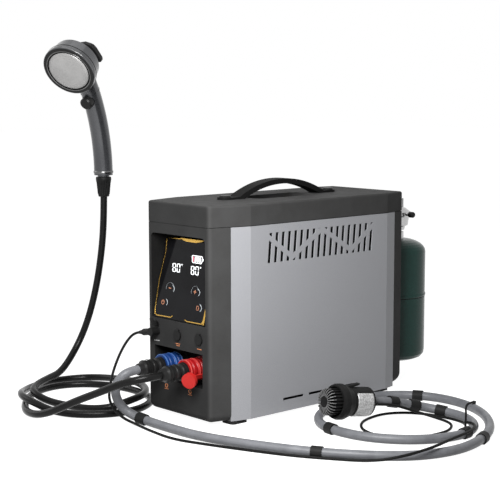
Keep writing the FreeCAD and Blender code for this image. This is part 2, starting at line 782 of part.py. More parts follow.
def make_quick_connectors():
    """Two ports in the bay: stem and body, coloured release sleeve and hose coupling on each."""
    tip = "(port_body_length)"
    for side, sign in (("inlet", "-"), ("outlet", "")):
        across = f"{sign}{CONNECTOR_X}"
        port = turned(f"{side}_port", [
            ("0", "-stem_length"), ("stem_radius", "-stem_length"), ("stem_radius", "0"),
            ("port_flange_radius", "0"), ("port_flange_radius", "port_flange_height"),
            ("port_body_radius", "port_flange_height"), ("port_body_radius", tip),
            ("port_bore_radius", tip), ("port_bore_radius", "port_bore_start"),
            ("0", "port_bore_start")])
        node(place(port, across, BAY_BACK, "connector_height", TOWARD_FRONT), f"{side}_port")
        inner = "port_body_radius + running_gap"
        groove = "sleeve_radius - 1"
        profile = [(inner, "sleeve_start"), (groove, "sleeve_start")]
        for start in (13, 20, 27):
            profile += [(groove, f"{start}"), ("sleeve_radius", f"{start + 1}"),
                        ("sleeve_radius", f"{start + 4}"), (groove, f"{start + 5}")]
        profile += [(groove, tip), (inner, tip)]
        sleeve = turned(f"{side}_sleeve", profile)
        node(place(sleeve, across, BAY_BACK, "connector_height", TOWARD_FRONT), f"{side}_sleeve")
        collar = f"{tip} + seat_gap"
        end = f"{tip} + coupling_length"
        coupling = turned(f"{side}_coupling", [
            ("0", "port_bore_start + 1"), ("port_bore_radius - 0.1", "port_bore_start + 1"),
            ("port_bore_radius - 0.1", collar), ("coupling_radius - 1", collar),
            ("coupling_radius - 1", f"{collar} + 2"), ("coupling_radius", f"{collar} + 3"),
            ("coupling_radius", f"{collar} + 7"), ("coupling_radius - 1", f"{collar} + 8"),
            ("coupling_radius - 2.4", f"{collar} + 9"), ("coupling_radius - 2.4", f"{collar} + 13"),
            ("coupling_radius", f"{collar} + 14"), ("coupling_radius", f"{collar} + 17"),
            ("coupling_radius - 1", f"{collar} + 18"), ("coupling_radius - 1", f"{end} - 13"),
            ("coupling_radius - 0.2", f"{end} - 12"), ("coupling_radius - 0.2", f"{end} - 8"),
            ("coupling_radius - 2.2", f"{end} - 6"), ("coupling_radius - 3.4", end), ("0", end)])
        node(place(coupling, across, BAY_BACK, "connector_height", TOWARD_FRONT), f"{side}_coupling")


def make_dust_cap():
    """Red cap that hangs by its strap from a ring on the outlet port."""
    ring_back = "(port_flange_height + seat_gap)"
    ring = turned("cap_ring", [
        ("port_body_radius + running_gap", ring_back), ("port_body_radius + 4", ring_back),
        ("port_body_radius + 4", f"{ring_back} + 3"), ("port_body_radius + running_gap", f"{ring_back} + 3")])
    strap = box("cap_strap", ("1.6", "6", "42"), ("sleeve_radius + 0.6", "-3", ring_back))
    arm = box("cap_arm", ("6", "6", "1.6"), ("port_body_radius + 2", "-3", ring_back))
    disc = cylinder("cap_disc", "dust_cap_radius", "dust_cap_height",
                    ("sleeve_radius + 5", "0", "42"), Rotation(Y_AXIS, 25))
    cap = fuse("outlet_cap", ring, strap, arm, disc)
    place(cap, CONNECTOR_X, BAY_BACK, "connector_height",
          TOWARD_FRONT.multiply(Rotation(Z_AXIS, -22)))
    node(cap, "outlet_cap")


# ---------------------------------------------------------------- heater core inside the housing

def open_box(name, spans, corner, wall, closed_bottom=False):
    """A sheet-metal box, open at the top, and at the bottom unless it is closed."""
    outside = box(f"{name}_outside", spans, corner)
    rise = wall if closed_bottom else "-1"
    inside = box(f"{name}_inside",
                 (f"{spans[0]} - 2 * {wall}", f"{spans[1]} - 2 * {wall}", f"{spans[2]} + 4"),
                 (f"{corner[0]} + {wall}", f"{corner[1]} + {wall}", f"{corner[2]} + {rise}"))
    return cut(name, outside, inside)


def make_heater_core():
    floor = "(foot_height + tray_thickness)"
    burner_top = f"({floor} + burner_box_height)"
    chamber_top = f"({burner_top} + chamber_height)"
    exchanger_top = f"({chamber_top} + exchanger_height)"
    near = "(core_middle - burner_box_length / 2)"
    node(open_box("burner_box", ("burner_box_width", "burner_box_length", "burner_box_height"),
                  ("-burner_box_width / 2", near, floor), "core_wall", closed_bottom=True), "burner_box")
    bars = []
    for index in range(5):
        bars.append(box(f"burner_bar_{index}",
                        ("burner_bar_width", "burner_box_length - 2 * core_wall", "burner_bar_height"),
                        (f"({index} - 2) * burner_bar_pitch - burner_bar_width / 2", f"{near} + core_wall",
                         f"{floor} + core_wall")))
    manifold = box("burner_manifold", ("manifold_width", "10", "manifold_height"),
                   ("-manifold_width / 2", f"{near} + burner_box_length - core_wall - 10",
                    f"{floor} + core_wall"))
    node(fuse("gas_burner", *bars, manifold), "gas_burner")
    chamber_near = "(core_middle - chamber_length / 2)"
    node(open_box("combustion_chamber", ("chamber_width", "chamber_length", "chamber_height"),
                  ("-chamber_width / 2", chamber_near, burner_top), "core_wall"), "combustion_chamber")
    fins = []
    count = int(number("fin_count"))
    for index in range(count):
        step = f"{index} * (chamber_length - fin_thickness) / (fin_count - 1)"
        fins.append(box(f"fin_{index}", ("chamber_width", "fin_thickness", "exchanger_height"),
                        ("-chamber_width / 2", f"{chamber_near} + {step}", chamber_top)))
    tubes = []
    for index in range(3):
        tubes.append(cylinder(f"exchanger_tube_{index}", "exchanger_tube_radius", "chamber_length",
                              (f"({index} - 1) * exchanger_tube_pitch", chamber_near,
                               f"{chamber_top} + exchanger_height / 2"), TOWARD_REAR))
    node(fuse("heat_exchanger", *fins, *tubes), "heat_exchanger")
    node(open_box("exhaust_hood", ("chamber_width", "chamber_length", "hood_height"),
                  ("-chamber_width / 2", chamber_near, exchanger_top), "core_wall"), "exhaust_hood")
    electrode = fuse("electrode_parts",
                     cylinder("electrode_body", "3", "12",
                              ("20", f"{chamber_near} - 12", f"{burner_top} + 12"), TOWARD_REAR),
                     box("electrode_flange", ("14", "1.5", "10"),
                         ("13", f"{chamber_near} - 1.5", f"{burner_top} + 7")))
    node(electrode, "ignition_electrode")
    battery_side = "(body_width / 2 - panel_thickness - 2 * shell_wall - 1)"
    node(box("battery_pack", (f"{battery_side} - {SENSOR_SIDE} - battery_gap", "battery_length",
                              "battery_height"),
             (f"-{battery_side}", f"{FRONT_SPLIT_Y} + 2 * shell_wall + 1", floor)), "battery_pack")
    node(box("gas_valve", ("gas_valve_width", "gas_valve_length", "gas_valve_height"),
             ("-gas_valve_width / 2", f"{REAR_SPLIT_Y} - 2 * shell_wall - 1 - gas_valve_length", floor)),
         "gas_valve")


def bent_path(points):
    """Straight runs joined by tangent arcs, and the smallest arc's radius."""
    edges = []
    radii = []
    start = points[0]
    for before, corner, after in zip(points, points[1:], points[2:]):
        toward = (corner - before)
        onward = (after - corner)
        half_turn = toward.getAngle(onward) / 2
        reach = 0.45 * min(toward.Length, onward.Length)
        radii.append(reach / math.tan(half_turn))
        toward.normalize()
        onward.normalize()
        enter = corner - toward * reach
        leave = corner + onward * reach
        inward = (onward - toward).normalize()
        to_middle = radii[-1] / math.cos(half_turn) - radii[-1]
        edges.append(Part.LineSegment(start, enter).toShape())
        edges.append(Part.Arc(enter, corner + inward * to_middle, leave).toShape())
        start = leave
    edges.append(Part.LineSegment(start, points[-1]).toShape())
    return Part.Wire(edges), min(radii)


def tube(name, radius, route):
    """A plain round tube along a route, with its length and tightest bend printed."""
    points = [Vector(*place_of) for place_of in route]
    path, tightest = bent_path(points)
    circle = Part.Circle(points[0], points[1] - points[0], radius).toShape()
    solid = path.makePipeShell([Part.Wire([circle])], True, False)
    expected = math.pi * radius ** 2 * path.Length
    print(f"{name}: length {path.Length:.0f} mm, tightest bend {tightest:.1f} mm,"
          f" volume ratio {solid.Volume / expected:.4f}")
    return made(name, solid)


def make_water_pipes():
    level = number("connector_height")
    start = number(BAY_BACK) + number("stem_length")
    near = number("core_middle - chamber_length / 2")
    top = number("foot_height + tray_thickness + burner_box_height + chamber_height + exchanger_height / 2")
    radius = number("pipe_radius")
    half = number(CONNECTOR_X)
    for name, sign in (("cold_water_pipe", -1), ("hot_water_pipe", 1)):
        route = [(sign * half, start, level), (sign * half, start + 40, level),
                 (sign * (half + 4), start + 60, level + 40), (sign * (half + 8), near - 28, top),
                 (sign * (half + 8), near, top)]
        node(tube(name, radius, route), name)
    sensor = cut("flow_sensor",
                 box("sensor_block", ("2 * sensor_half", "2 * sensor_half", "2 * sensor_half + 4"),
                     (f"-{SENSOR_SIDE}", f"{BAY_BACK} + stem_length + 2",
                      "connector_height - sensor_half - 2")),
                 cylinder("sensor_bore", "pipe_radius + running_gap", "24",
                          (f"-{CONNECTOR_X}", f"{BAY_BACK} + stem_length", "connector_height"), TOWARD_REAR))
    node(sensor, "flow_sensor")


def make_control_board():
    """Circuit board clipped to the back of the tilted control pan."""
    tilt = Rotation(X_AXIS, -number("control_tilt"))
    board = doc.addObject("Part::Box", "control_board")
    board.setExpression("Length", bound("glass_width - 20"))
    board.Width = 1.6
    board.setExpression("Height", bound("glass_length - 36"))
    lift = "12"
    place(board, "-glass_width / 2 + 10",
          f"{PAN_NEAR} + shell_wall + {lift} * {PAN_TILT} + 0.2", f"glass_bottom + {lift}", rotation=tilt)
    node(board, "control_board")


# ---------------------------------------------------------------- gas bottle and regulator

def make_gas_side():
    inlet = turned("inlet_tail", [
        ("3", "-20"), ("inlet_radius - 2", "-20"), ("inlet_radius - 2", "-shell_wall - 3"),
        ("inlet_radius + 3", "-shell_wall - 3"), ("inlet_radius + 3", "-shell_wall"),
        ("inlet_radius", "-shell_wall"), ("inlet_radius", "14"), ("3", "14")])
    place(inlet, "0", REAR, "inlet_level", TOWARD_REAR)
    node(inlet, "gas_inlet")
    level = number("inlet_level")
    inlet_end = number(REAR) - 20
    valve_y = number(f"{REAR_SPLIT_Y} - 2 * shell_wall - 1 - gas_valve_length / 2")
    valve_top = number("foot_height + tray_thickness + gas_valve_height")
    route = [(0, inlet_end, level), (0, valve_y, level), (0, valve_y, valve_top)]
    node(tube("gas_pipe", 4, route), "gas_pipe")
    reach = "regulator_bottom + thread_length + 4"
    bell = turned("regulator_bell", [
        ("thread_radius + running_gap", "regulator_bottom"), ("valve_radius + 1", "regulator_bottom"),
        ("valve_radius + 2", "regulator_bottom + 5"), ("regulator_radius - 4", "regulator_bottom + 7"),
        ("regulator_radius - 2", "regulator_bottom + 20"), ("regulator_radius", "regulator_bottom + 22"),
        ("regulator_radius", "regulator_bottom + 27"), ("regulator_radius - 8", "regulator_bottom + 33"),
        ("8", "regulator_bottom + regulator_height"), ("0", "regulator_bottom + regulator_height"),
        ("0", reach), ("thread_radius + running_gap", reach)])
    place(bell, "0", BOTTLE_Y, "0")
    arm = cylinder("regulator_arm", "inlet_radius + 1.5",
                   "bottle_gap + bottle_radius - 14 - thread_radius - 3",
                   ("0", f"{REAR} + 14", "inlet_level"), TOWARD_REAR)
    stem = cylinder("regulator_stem", "1.3", "16",
                    ("9", f"{BOTTLE_Y} + 11", "regulator_bottom + regulator_height - 5"))
    neck = cylinder("knob_neck", "2.6", "8", ("regulator_radius - 2", BOTTLE_Y, "regulator_bottom + 24.5"),
                    TOWARD_RIGHT)
    node(fuse("regulator_body", bell, arm, stem, neck), "regulator_body")
    knob = turned("regulator_knob", [
        ("0", "0"), ("knob_radius - 0.5", "0"), ("knob_radius", "1"), ("knob_radius", "knob_length - 1.5"),
        ("knob_radius - 1", "knob_length"), ("0", "knob_length")])
    place(knob, "regulator_radius + 6 + seat_gap", BOTTLE_Y, "regulator_bottom + 24.5", TOWARD_RIGHT)
    node(knob, "regulator_knob")
    valve = turned("bottle_valve", [
        ("0", "bottle_top"), ("valve_radius", "bottle_top"), ("valve_radius", "regulator_bottom - 3"),
        ("thread_radius", "regulator_bottom - 2"), ("thread_radius", "regulator_bottom + thread_length"),
        ("0", "regulator_bottom + thread_length")])
    node(place(valve, "0", BOTTLE_Y, "0"), "bottle_valve")
    seal = cylinder("bottle_seal", "thread_radius - 0.3", "4 - 2 * seat_gap",
                    ("0", BOTTLE_Y, "regulator_bottom + thread_length + seat_gap"))
    node(seal, "bottle_seal")
    rim = "bottle_radius"
    foot = [
        ("0", "bottle_bottom + 5"), (f"{rim} - 20", "bottle_bottom + 4"), (f"{rim} - 12", "bottle_bottom"),
        (f"{rim} - 5", "bottle_bottom + 3"), (f"{rim} - 1", "bottle_bottom + 8"), (rim, "bottle_bottom + 14")]
    outside = turned("bottle_outside", foot + bottle_dome("0"))
    floor = [
        ("0", "bottle_bottom + 5 + bottle_wall"), (f"{rim} - 6", "bottle_bottom + 5 + bottle_wall"),
        (f"{rim} - bottle_wall", "bottle_bottom + 14")]
    inside = turned("bottle_inside", floor + bottle_dome("bottle_wall"))
    node(place(cut("gas_bottle", outside, inside), "0", BOTTLE_Y, "0"), "gas_bottle")


def bottle_dome(inset):
    """The bottle's shoulder, from the side to the axis, drawn in by the inset."""
    neck = "(valve_radius - 1)"
    top = f"(bottle_top - {inset})"
    steps = 7
    dome = []
    for index in range(steps):
        angle = 90.0 * index / steps
        dome.append((f"{neck} + (bottle_radius - {inset} - {neck}) * cos({angle})",
                     f"bottle_shoulder + ({top} - bottle_shoulder) * sin({angle})"))
    return dome + [(neck, top), ("0", top)]


# ---------------------------------------------------------------- shower set

def handset_frame():
    """Places what is drawn with the grip along Z and the head toward +X."""
    return Placement(Vector(number("nut_x"), number("nut_y"), 0), Rotation(Z_AXIS, number("handle_turn")))


def make_handset():
    nut = turned("hose_nut", [
        ("0", "0"), ("nut_bottom_radius - 1", "0"), ("nut_bottom_radius", "1"),
        ("nut_top_radius", "nut_height - 2"), ("nut_top_radius", "nut_height"), ("0", "nut_height")])
    node(place(nut, "nut_x", "nut_y", "nut_bottom"), "hose_nut")
    bend = number("grip_bend_radius")
    bend_middle = Vector(bend, 0, number("grip_bottom"))
    grip = doc.addObject("Part::Torus", "grip_tube")
    grip.setExpression("Radius1", bound("grip_bend_radius"))
    grip.setExpression("Radius2", bound("grip_radius"))
    grip.setExpression("Angle3", bound("grip_sweep"))
    upright = Rotation(Vector(-1, 0, 0), Z_AXIS, Y_AXIS, "XYZ")
    grip.Placement = Placement(bend_middle, upright)
    facing = Rotation(Y_AXIS, number("head_tilt"))
    face_middle = Vector(number("head_forward"), 0, number("head_level"))
    neck = cylinder("chrome_neck", "grip_radius - 5", "grip_bottom - nut_bottom - nut_height - seat_gap + 3",
                    ("0", "0", "nut_bottom + nut_height + seat_gap"))
    head = turned("shower_head", [
        ("0", "-head_depth"), ("head_radius - 9", "-head_depth"), ("head_radius - 4", "-head_depth + 5"),
        ("head_radius - 1.5", "-8"), ("head_radius", "-6"), ("head_radius", "-1"),
        ("head_radius - 1.5", "0"), ("spray_radius + 1", "0"), ("spray_radius + seat_gap", "-1"),
        ("spray_radius + seat_gap", "-spray_thickness - 1"), ("0", "-spray_thickness - 1")])
    head.Placement = Placement(face_middle, facing)
    sweep = math.radians(number("grip_sweep"))
    grip_end = bend_middle + Vector(-math.cos(sweep), 0, math.sin(sweep)) * bend
    inside_head = face_middle - facing.multVec(Z_AXIS) * 20
    shoulder = Part.makeCylinder(number("grip_radius"), (inside_head - grip_end).Length, grip_end,
                                 inside_head - grip_end)
    shoulder = shoulder.fuse(Part.makeSphere(number("grip_radius"), grip_end))
    lean = math.radians(number("button_lean"))
    inward = Vector(-math.cos(lean), 0, math.sin(lean))
    button_at = bend_middle + inward * (bend - number("grip_radius - button_sink"))
    face_out = Rotation(Y_AXIS, 90 + number("button_lean"))
    well = cylinder("button_well", "button_radius + seat_gap", "20")
    well_floor = number("-button_skirt - button_travel - seat_gap")
    well.Placement = Placement(button_at, face_out).multiply(Placement(Vector(0, 0, well_floor), Rotation()))
    whole = fuse("handset_parts", grip, neck, head, made("grip_shoulder", shoulder))
    body = cut("handset_body", whole, well)
    body.Placement = handset_frame()
    node(body, "handset_body")
    axis = facing.multVec(Z_AXIS)
    plate = turned("spray_face", [
        ("0", "0"), ("spray_radius", "0"), ("spray_radius", "spray_thickness - 1"),
        ("spray_radius - 2", "spray_thickness"), ("0", "spray_thickness")])
    plate_at = face_middle - axis * number("spray_thickness + 0.7")
    plate.Placement = handset_frame().multiply(Placement(plate_at, facing))
    node(plate, "spray_face")
    button = turned("stop_button", [
        ("0", "-button_skirt"), ("button_radius", "-button_skirt"), ("button_radius", "button_height - 2"),
        ("button_radius - 2", "button_height"), ("0", "button_height")])
    button.Placement = handset_frame().multiply(Placement(button_at, face_out))
    node(button, "stop_button")
    print("button pushed toward", handset_frame().Rotation.multVec(face_out.multVec(-Z_AXIS)))
    behind = "(-head_depth - selector_height - seat_gap)"
    lever = fuse("spray_selector",
                 cylinder("selector_boss", "9", "selector_height", ("-selector_offset", "0", behind)),
                 box("selector_tab", ("8", "26", "selector_height + 1"),
                     ("-selector_offset - 4", "6", f"{behind} - 1")))
    lever.Placement = handset_frame().multiply(Placement(face_middle, facing))
    node(lever, "spray_selector")
    pivot = facing.multVec(Vector(-number("selector_offset"), 0, 0)) + face_middle
    print("selector turns about", handset_frame().Rotation.multVec(axis),
          "through", handset_frame().multVec(pivot))


# Route of the shower hose from the outlet coupling to its coil on the floor.
SHOWER_LEAD = [
    (24, -228, 70), (24, -244, 70), (14, -260, 67), (-6, -273, 60), (-30, -285, 48), (-58, -298, 33),
    (-88, -312, 19), (-118, -324, 9), (-146, -325, 5.6), (-172, -314, 5.2),
]
# From the coil up to the hose nut, over the coil's other turns.
SHOWER_RISER = [
    (-208, -284, 6), (-238, -252, 12), (-262, -212, 22), (-275, -176, 30), (-268, -153, 58),
    (-257, -141, 98), (-249, -132, 145), (-243.5, -126, 195), (-240.9, -123, 240),
    (-240.5, -122.5, 277.2),
]


def make_shower_hose():
    radius = number("hose_radius")
    node(tube("shower_hose_lead", radius, SHOWER_LEAD), "shower_hose_lead")
    node(tube("shower_hose_riser", radius, SHOWER_RISER), "shower_hose_riser")
    lay = Placement(Vector(number("coil_x"), number("coil_y"), 0), Rotation(Z_AXIS, number("coil_turn")))

    def oval(long_half, short_half):
        rim = Part.Ellipse(Vector(), number(long_half), number(short_half))
        return Part.Face(Part.Wire([rim.toShape()])).extrude(Vector(0, 0, number("coil_height")))

    ring = oval("coil_long_half", "coil_short_half").cut(oval("coil_hole_long_half", "coil_hole_short_half"))
    node(made("shower_hose_coil", ring, lay), "shower_hose_coil")


# Route of the suction hose from the inlet coupling along the floor in front of the heater,
# round behind the pump, under its bell and round a smaller loop to its tail.
SUCTION_ROUTE = [
    (-24, -228, 70), (-24, -241, 70), (-29, -252, 63.5), (-35, -257, 50), (-38, -254, 35),
    (-36, -246, 20.5), (-25, -237, 10.5), (-2, -231, 6.4), (40, -232, 6.2), (100, -230, 6.2),
    (160, -213, 6.2), (216, -191, 6.2), (266, -165, 6.2), (311, -132, 6.2), (344, -93, 6.2),
    (358, -46, 6.2), (353, 3, 6.2), (330, 58, 6.2), (288, 108, 6.2), (240, 140, 6.2),
    (190, 151, 6.2), (146, 142, 6.2), (113, 114, 6.2), (97, 74, 6.2), (97, 30, 6.2),
    (110, -14, 6.2), (132, -53, 6.2), (166, -80, 6.2), (209, -86, 6.2), (252, -77, 6.2),
    (290, -50, 6.2), (313, -12, 6.2), (317, 30, 6.2), (299, 68, 6.2), (266, 90, 6.2),
    (232, 92, 7), (206, 78, 11), (193, 51, 18), (190.1, 22.3, 25.6), (185, -11.6, 30),
]
# Route of the pump's cable: down from its plug, beside the hose, over it at the far right,
# once round inside the smaller loop and on to the pump's tail.
CABLE_ROUTE = [
    (-73, -187.5, 107.8), (-82.5, -189, 105.8), (-88, -197, 96), (-84, -211, 83), (-73, -228, 70),
    (-57, -246, 59), (-44.5, -259, 47), (-44, -261, 32), (-41, -254, 17), (-31, -247.5, 7),
    (-10, -244, 3), (24, -248, 2), (76, -253, 2), (118, -240, 2), (156, -226, 2), (196, -210, 2),
    (232, -194.5, 2), (274, -169, 2), (316, -143, 3), (342, -120, 10), (356, -84, 17),
    (347, -42, 17), (342, -8, 17), (334, 22, 17), (318, 40, 17), (300, 42, 15), (284, 54, 4),
    (262, 74, 2), (238, 78, 2), (212, 68, 3), (188, 58, 2), (172, 40, 2), (166, 12, 2), (176, -18, 2),
    (200, -45, 2), (232, -60, 2), (265, -49, 2), (288, -20, 2), (292, 12, 2), (280, 36, 2),
    (256, 60, 2), (228, 63, 4), (206, 46, 13), (198, 18, 24), (195.4, -11.8, 27.6),
]


def pump_place():
    """The pump's own Z axis runs from its strainer to its tail."""
    heading = Rotation(Z_AXIS, number("pump_heading"))
    dip = Rotation(Y_AXIS, 90 + number("pump_dip"))
    middle = Vector(number("pump_x"), number("pump_y"), number("pump_height"))
    return Placement(middle, heading.multiply(dip))


def make_pump():
    """Strainer, impeller and motor housing of the pump, which lies on its hose."""
    lie = pump_place()
    shell = turned("pump_housing", [
        ("shaft_radius + running_gap", "mouth_floor"), ("mouth_radius", "mouth_floor"),
        ("mouth_radius", "mouth_front"), ("bell_radius - 1.5", "mouth_front"),
        ("bell_radius", "mouth_floor - 2"), ("bell_radius", "2"), ("pump_radius + 1", "11"),
        ("pump_radius", "13"), ("pump_radius", "pump_tail - 2.5"), ("pump_radius - 2.5", "pump_tail"),
        ("0", "pump_tail"), ("0", "10"), ("shaft_radius + running_gap", "10")])
    shell.Placement = lie
    node(shell, "pump_housing")
    rim = "strainer_radius"
    basket = turned("strainer_basket", [
        (f"{rim} - strainer_wall", "mouth_floor"), (f"{rim} - strainer_wall", "-strainer_reach + 5"),
        (f"{rim} - strainer_wall - 3", "-strainer_reach + strainer_wall"),
        ("0", "-strainer_reach + strainer_wall"), ("0", "-strainer_reach"), (f"{rim} - 5", "-strainer_reach"),
        (f"{rim} - 1.5", "-strainer_reach + 1.5"), (rim, "-strainer_reach + 5"), (rim, "mouth_floor - 4"),
        ("mouth_radius - 0.1", "mouth_floor - 4"), ("mouth_radius - 0.1", "mouth_floor")])
    slots = []
    count = int(number("strainer_slots"))
    for index in range(count):
        slot = box(f"strainer_slot_{index}",
                   (f"{rim} - strainer_hub + 1", "slot_width", "strainer_reach + mouth_floor - 5"))
        turn = Placement(Vector(), Rotation(Z_AXIS, 360.0 * index / count))
        corner = Vector(number("strainer_hub"), number("-slot_width / 2"), number("-strainer_reach - 1"))
        slot.Placement = turn.multiply(Placement(corner, Rotation()))
        slots.append(slot)
    strainer = cut("pump_strainer", basket, *slots)
    strainer.Placement = lie
    node(strainer, "pump_strainer")
    hub = cylinder("impeller_hub", "4", "17", ("0", "0", "-strainer_reach + 4"))
    plate = cylinder("impeller_plate", "impeller_radius", "1.5", ("0", "0", "mouth_floor - 2.3"))
    shaft = cylinder("impeller_shaft", "shaft_radius", "13", ("0", "0", "mouth_floor - 4"))
    blades = []
    count = int(number("impeller_blades"))
    for index in range(count):
        blade = box(f"impeller_blade_{index}", ("impeller_radius - 3.4", "1.2", "12"))
        turn = Placement(Vector(), Rotation(Z_AXIS, 360.0 * index / count))
        corner = Vector(3, -0.6, number("mouth_floor - 14"))
        blade.Placement = turn.multiply(Placement(corner, Rotation()))
        blades.append(blade)
    impeller = fuse("pump_impeller", hub, plate, shaft, *blades)
    impeller.Placement = lie
    node(impeller, "pump_impeller")
    lug = prism("pump_hook", "YZ_Plane",
                [("pump_radius + 0.1", "13.5"), ("pump_radius + 3", "13.5"), ("pump_radius + 4.5", "26"),
                 ("pump_radius + 7", "29"), ("pump_radius + 3", "30"), ("pump_radius + 1.5", "23"),
                 ("pump_radius + 0.1", "18")], "4", both_ways=True)
    lug.Placement = lie.multiply(Placement(Vector(), Rotation(Z_AXIS, 90)))
    node(lug, "pump_hook")
    print("pump axis", lie.Rotation.multVec(Z_AXIS), "tail", lie.multVec(Vector(0, 0, number("pump_tail"))))


def make_suction_hose():
    radius = number("suction_radius")
    node(tube("suction_hose", radius, SUCTION_ROUTE), "suction_hose")
    node(tube("pump_cable", number("cable_radius"), CABLE_ROUTE), "pump_cable")


def make_straps():
    """Bands that hold the cable to the hose, each at its distance from the hose's inlet end."""
    path, _ = bent_path([Vector(*place_of) for place_of in SUCTION_ROUTE])
    spots = path.discretize(Distance=1)
    step = path.Length / (len(spots) - 1)
    half = number("strap_length / 2")
    bands = []
    for reach in (106, 378, 620, 880, 1156, 1350, 1474, 1512, 1548):
        start = spots[round((reach - half) / step)]
        end = spots[round((reach + half) / step)]
        along = end - start
        band = Part.makeCylinder(number("suction_radius + strap_thickness"), along.Length, start, along)
        band = band.cut(Part.makeCylinder(number("suction_radius + 0.1"), along.Length, start, along))
        if band.BoundBox.ZMin < 0:
            band = band.cut(Part.makeBox(900, 900, 20, Vector(-450, -450, -20)))
        bands.append(made(f"hose_band_{reach}", band))
    node(group("hose_straps", *bands), "hose_straps")


# ---------------------------------------------------------------- build, check and write

make_base_tray()
make_feet()
make_front_bezel()
make_rear_cover()
make_top_cover()
make_side_panels()
make_control_panel()
make_handle()
make_cover_screws()
make_ports()
make_quick_connectors()
make_dust_cap()
make_heater_core()
make_water_pipes()
make_control_board()
make_gas_side()
make_handset()
make_shower_hose()
make_suction_hose()
make_straps()
make_pump()
doc.recompute()

for thing in doc.Objects:
    if "Invalid" in thing.State or "Error" in thing.State:
        raise RuntimeError(f"{thing.Label} did not recompute: {thing.State}")
for thing in node_objects:
    if thing.Shape.isNull() or not thing.Shape.isValid():
        raise RuntimeError(f"{thing.Label} has no valid shape")

os.makedirs("parts", exist_ok=True)
for thing in node_objects:
    thing.Shape.exportStep(f"parts/{thing.Label}.step")
print(len(node_objects), "sub-parts")
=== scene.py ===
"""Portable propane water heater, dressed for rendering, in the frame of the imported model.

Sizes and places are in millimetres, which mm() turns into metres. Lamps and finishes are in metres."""
import json
import math

import bmesh
import bpy
from mathutils import Matrix, Vector


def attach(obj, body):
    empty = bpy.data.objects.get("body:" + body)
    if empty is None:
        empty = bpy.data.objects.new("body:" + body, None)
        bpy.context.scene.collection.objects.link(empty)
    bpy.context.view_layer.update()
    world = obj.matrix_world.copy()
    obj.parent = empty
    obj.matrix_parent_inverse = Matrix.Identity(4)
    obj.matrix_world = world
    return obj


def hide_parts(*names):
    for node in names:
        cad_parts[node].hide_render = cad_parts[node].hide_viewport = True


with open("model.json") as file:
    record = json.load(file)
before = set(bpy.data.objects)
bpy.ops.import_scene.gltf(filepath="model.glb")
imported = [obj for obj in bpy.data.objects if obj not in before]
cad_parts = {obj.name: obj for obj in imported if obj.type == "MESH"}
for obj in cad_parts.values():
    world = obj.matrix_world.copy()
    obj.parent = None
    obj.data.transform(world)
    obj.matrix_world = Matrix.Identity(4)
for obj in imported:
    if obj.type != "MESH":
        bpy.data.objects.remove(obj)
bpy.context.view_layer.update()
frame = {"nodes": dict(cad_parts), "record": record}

nodes = frame["nodes"]
scene = bpy.context.scene
scene.view_settings.view_transform = "Standard"

MM = 0.001


def mm(*values):
    return Vector([value * MM for value in values])


def moved(*place):
    return Matrix.Translation(mm(*place))


def rotated(degrees, axis):
    return Matrix.Rotation(math.radians(degrees), 4, axis)


# ---------------------------------------------------------------- materials

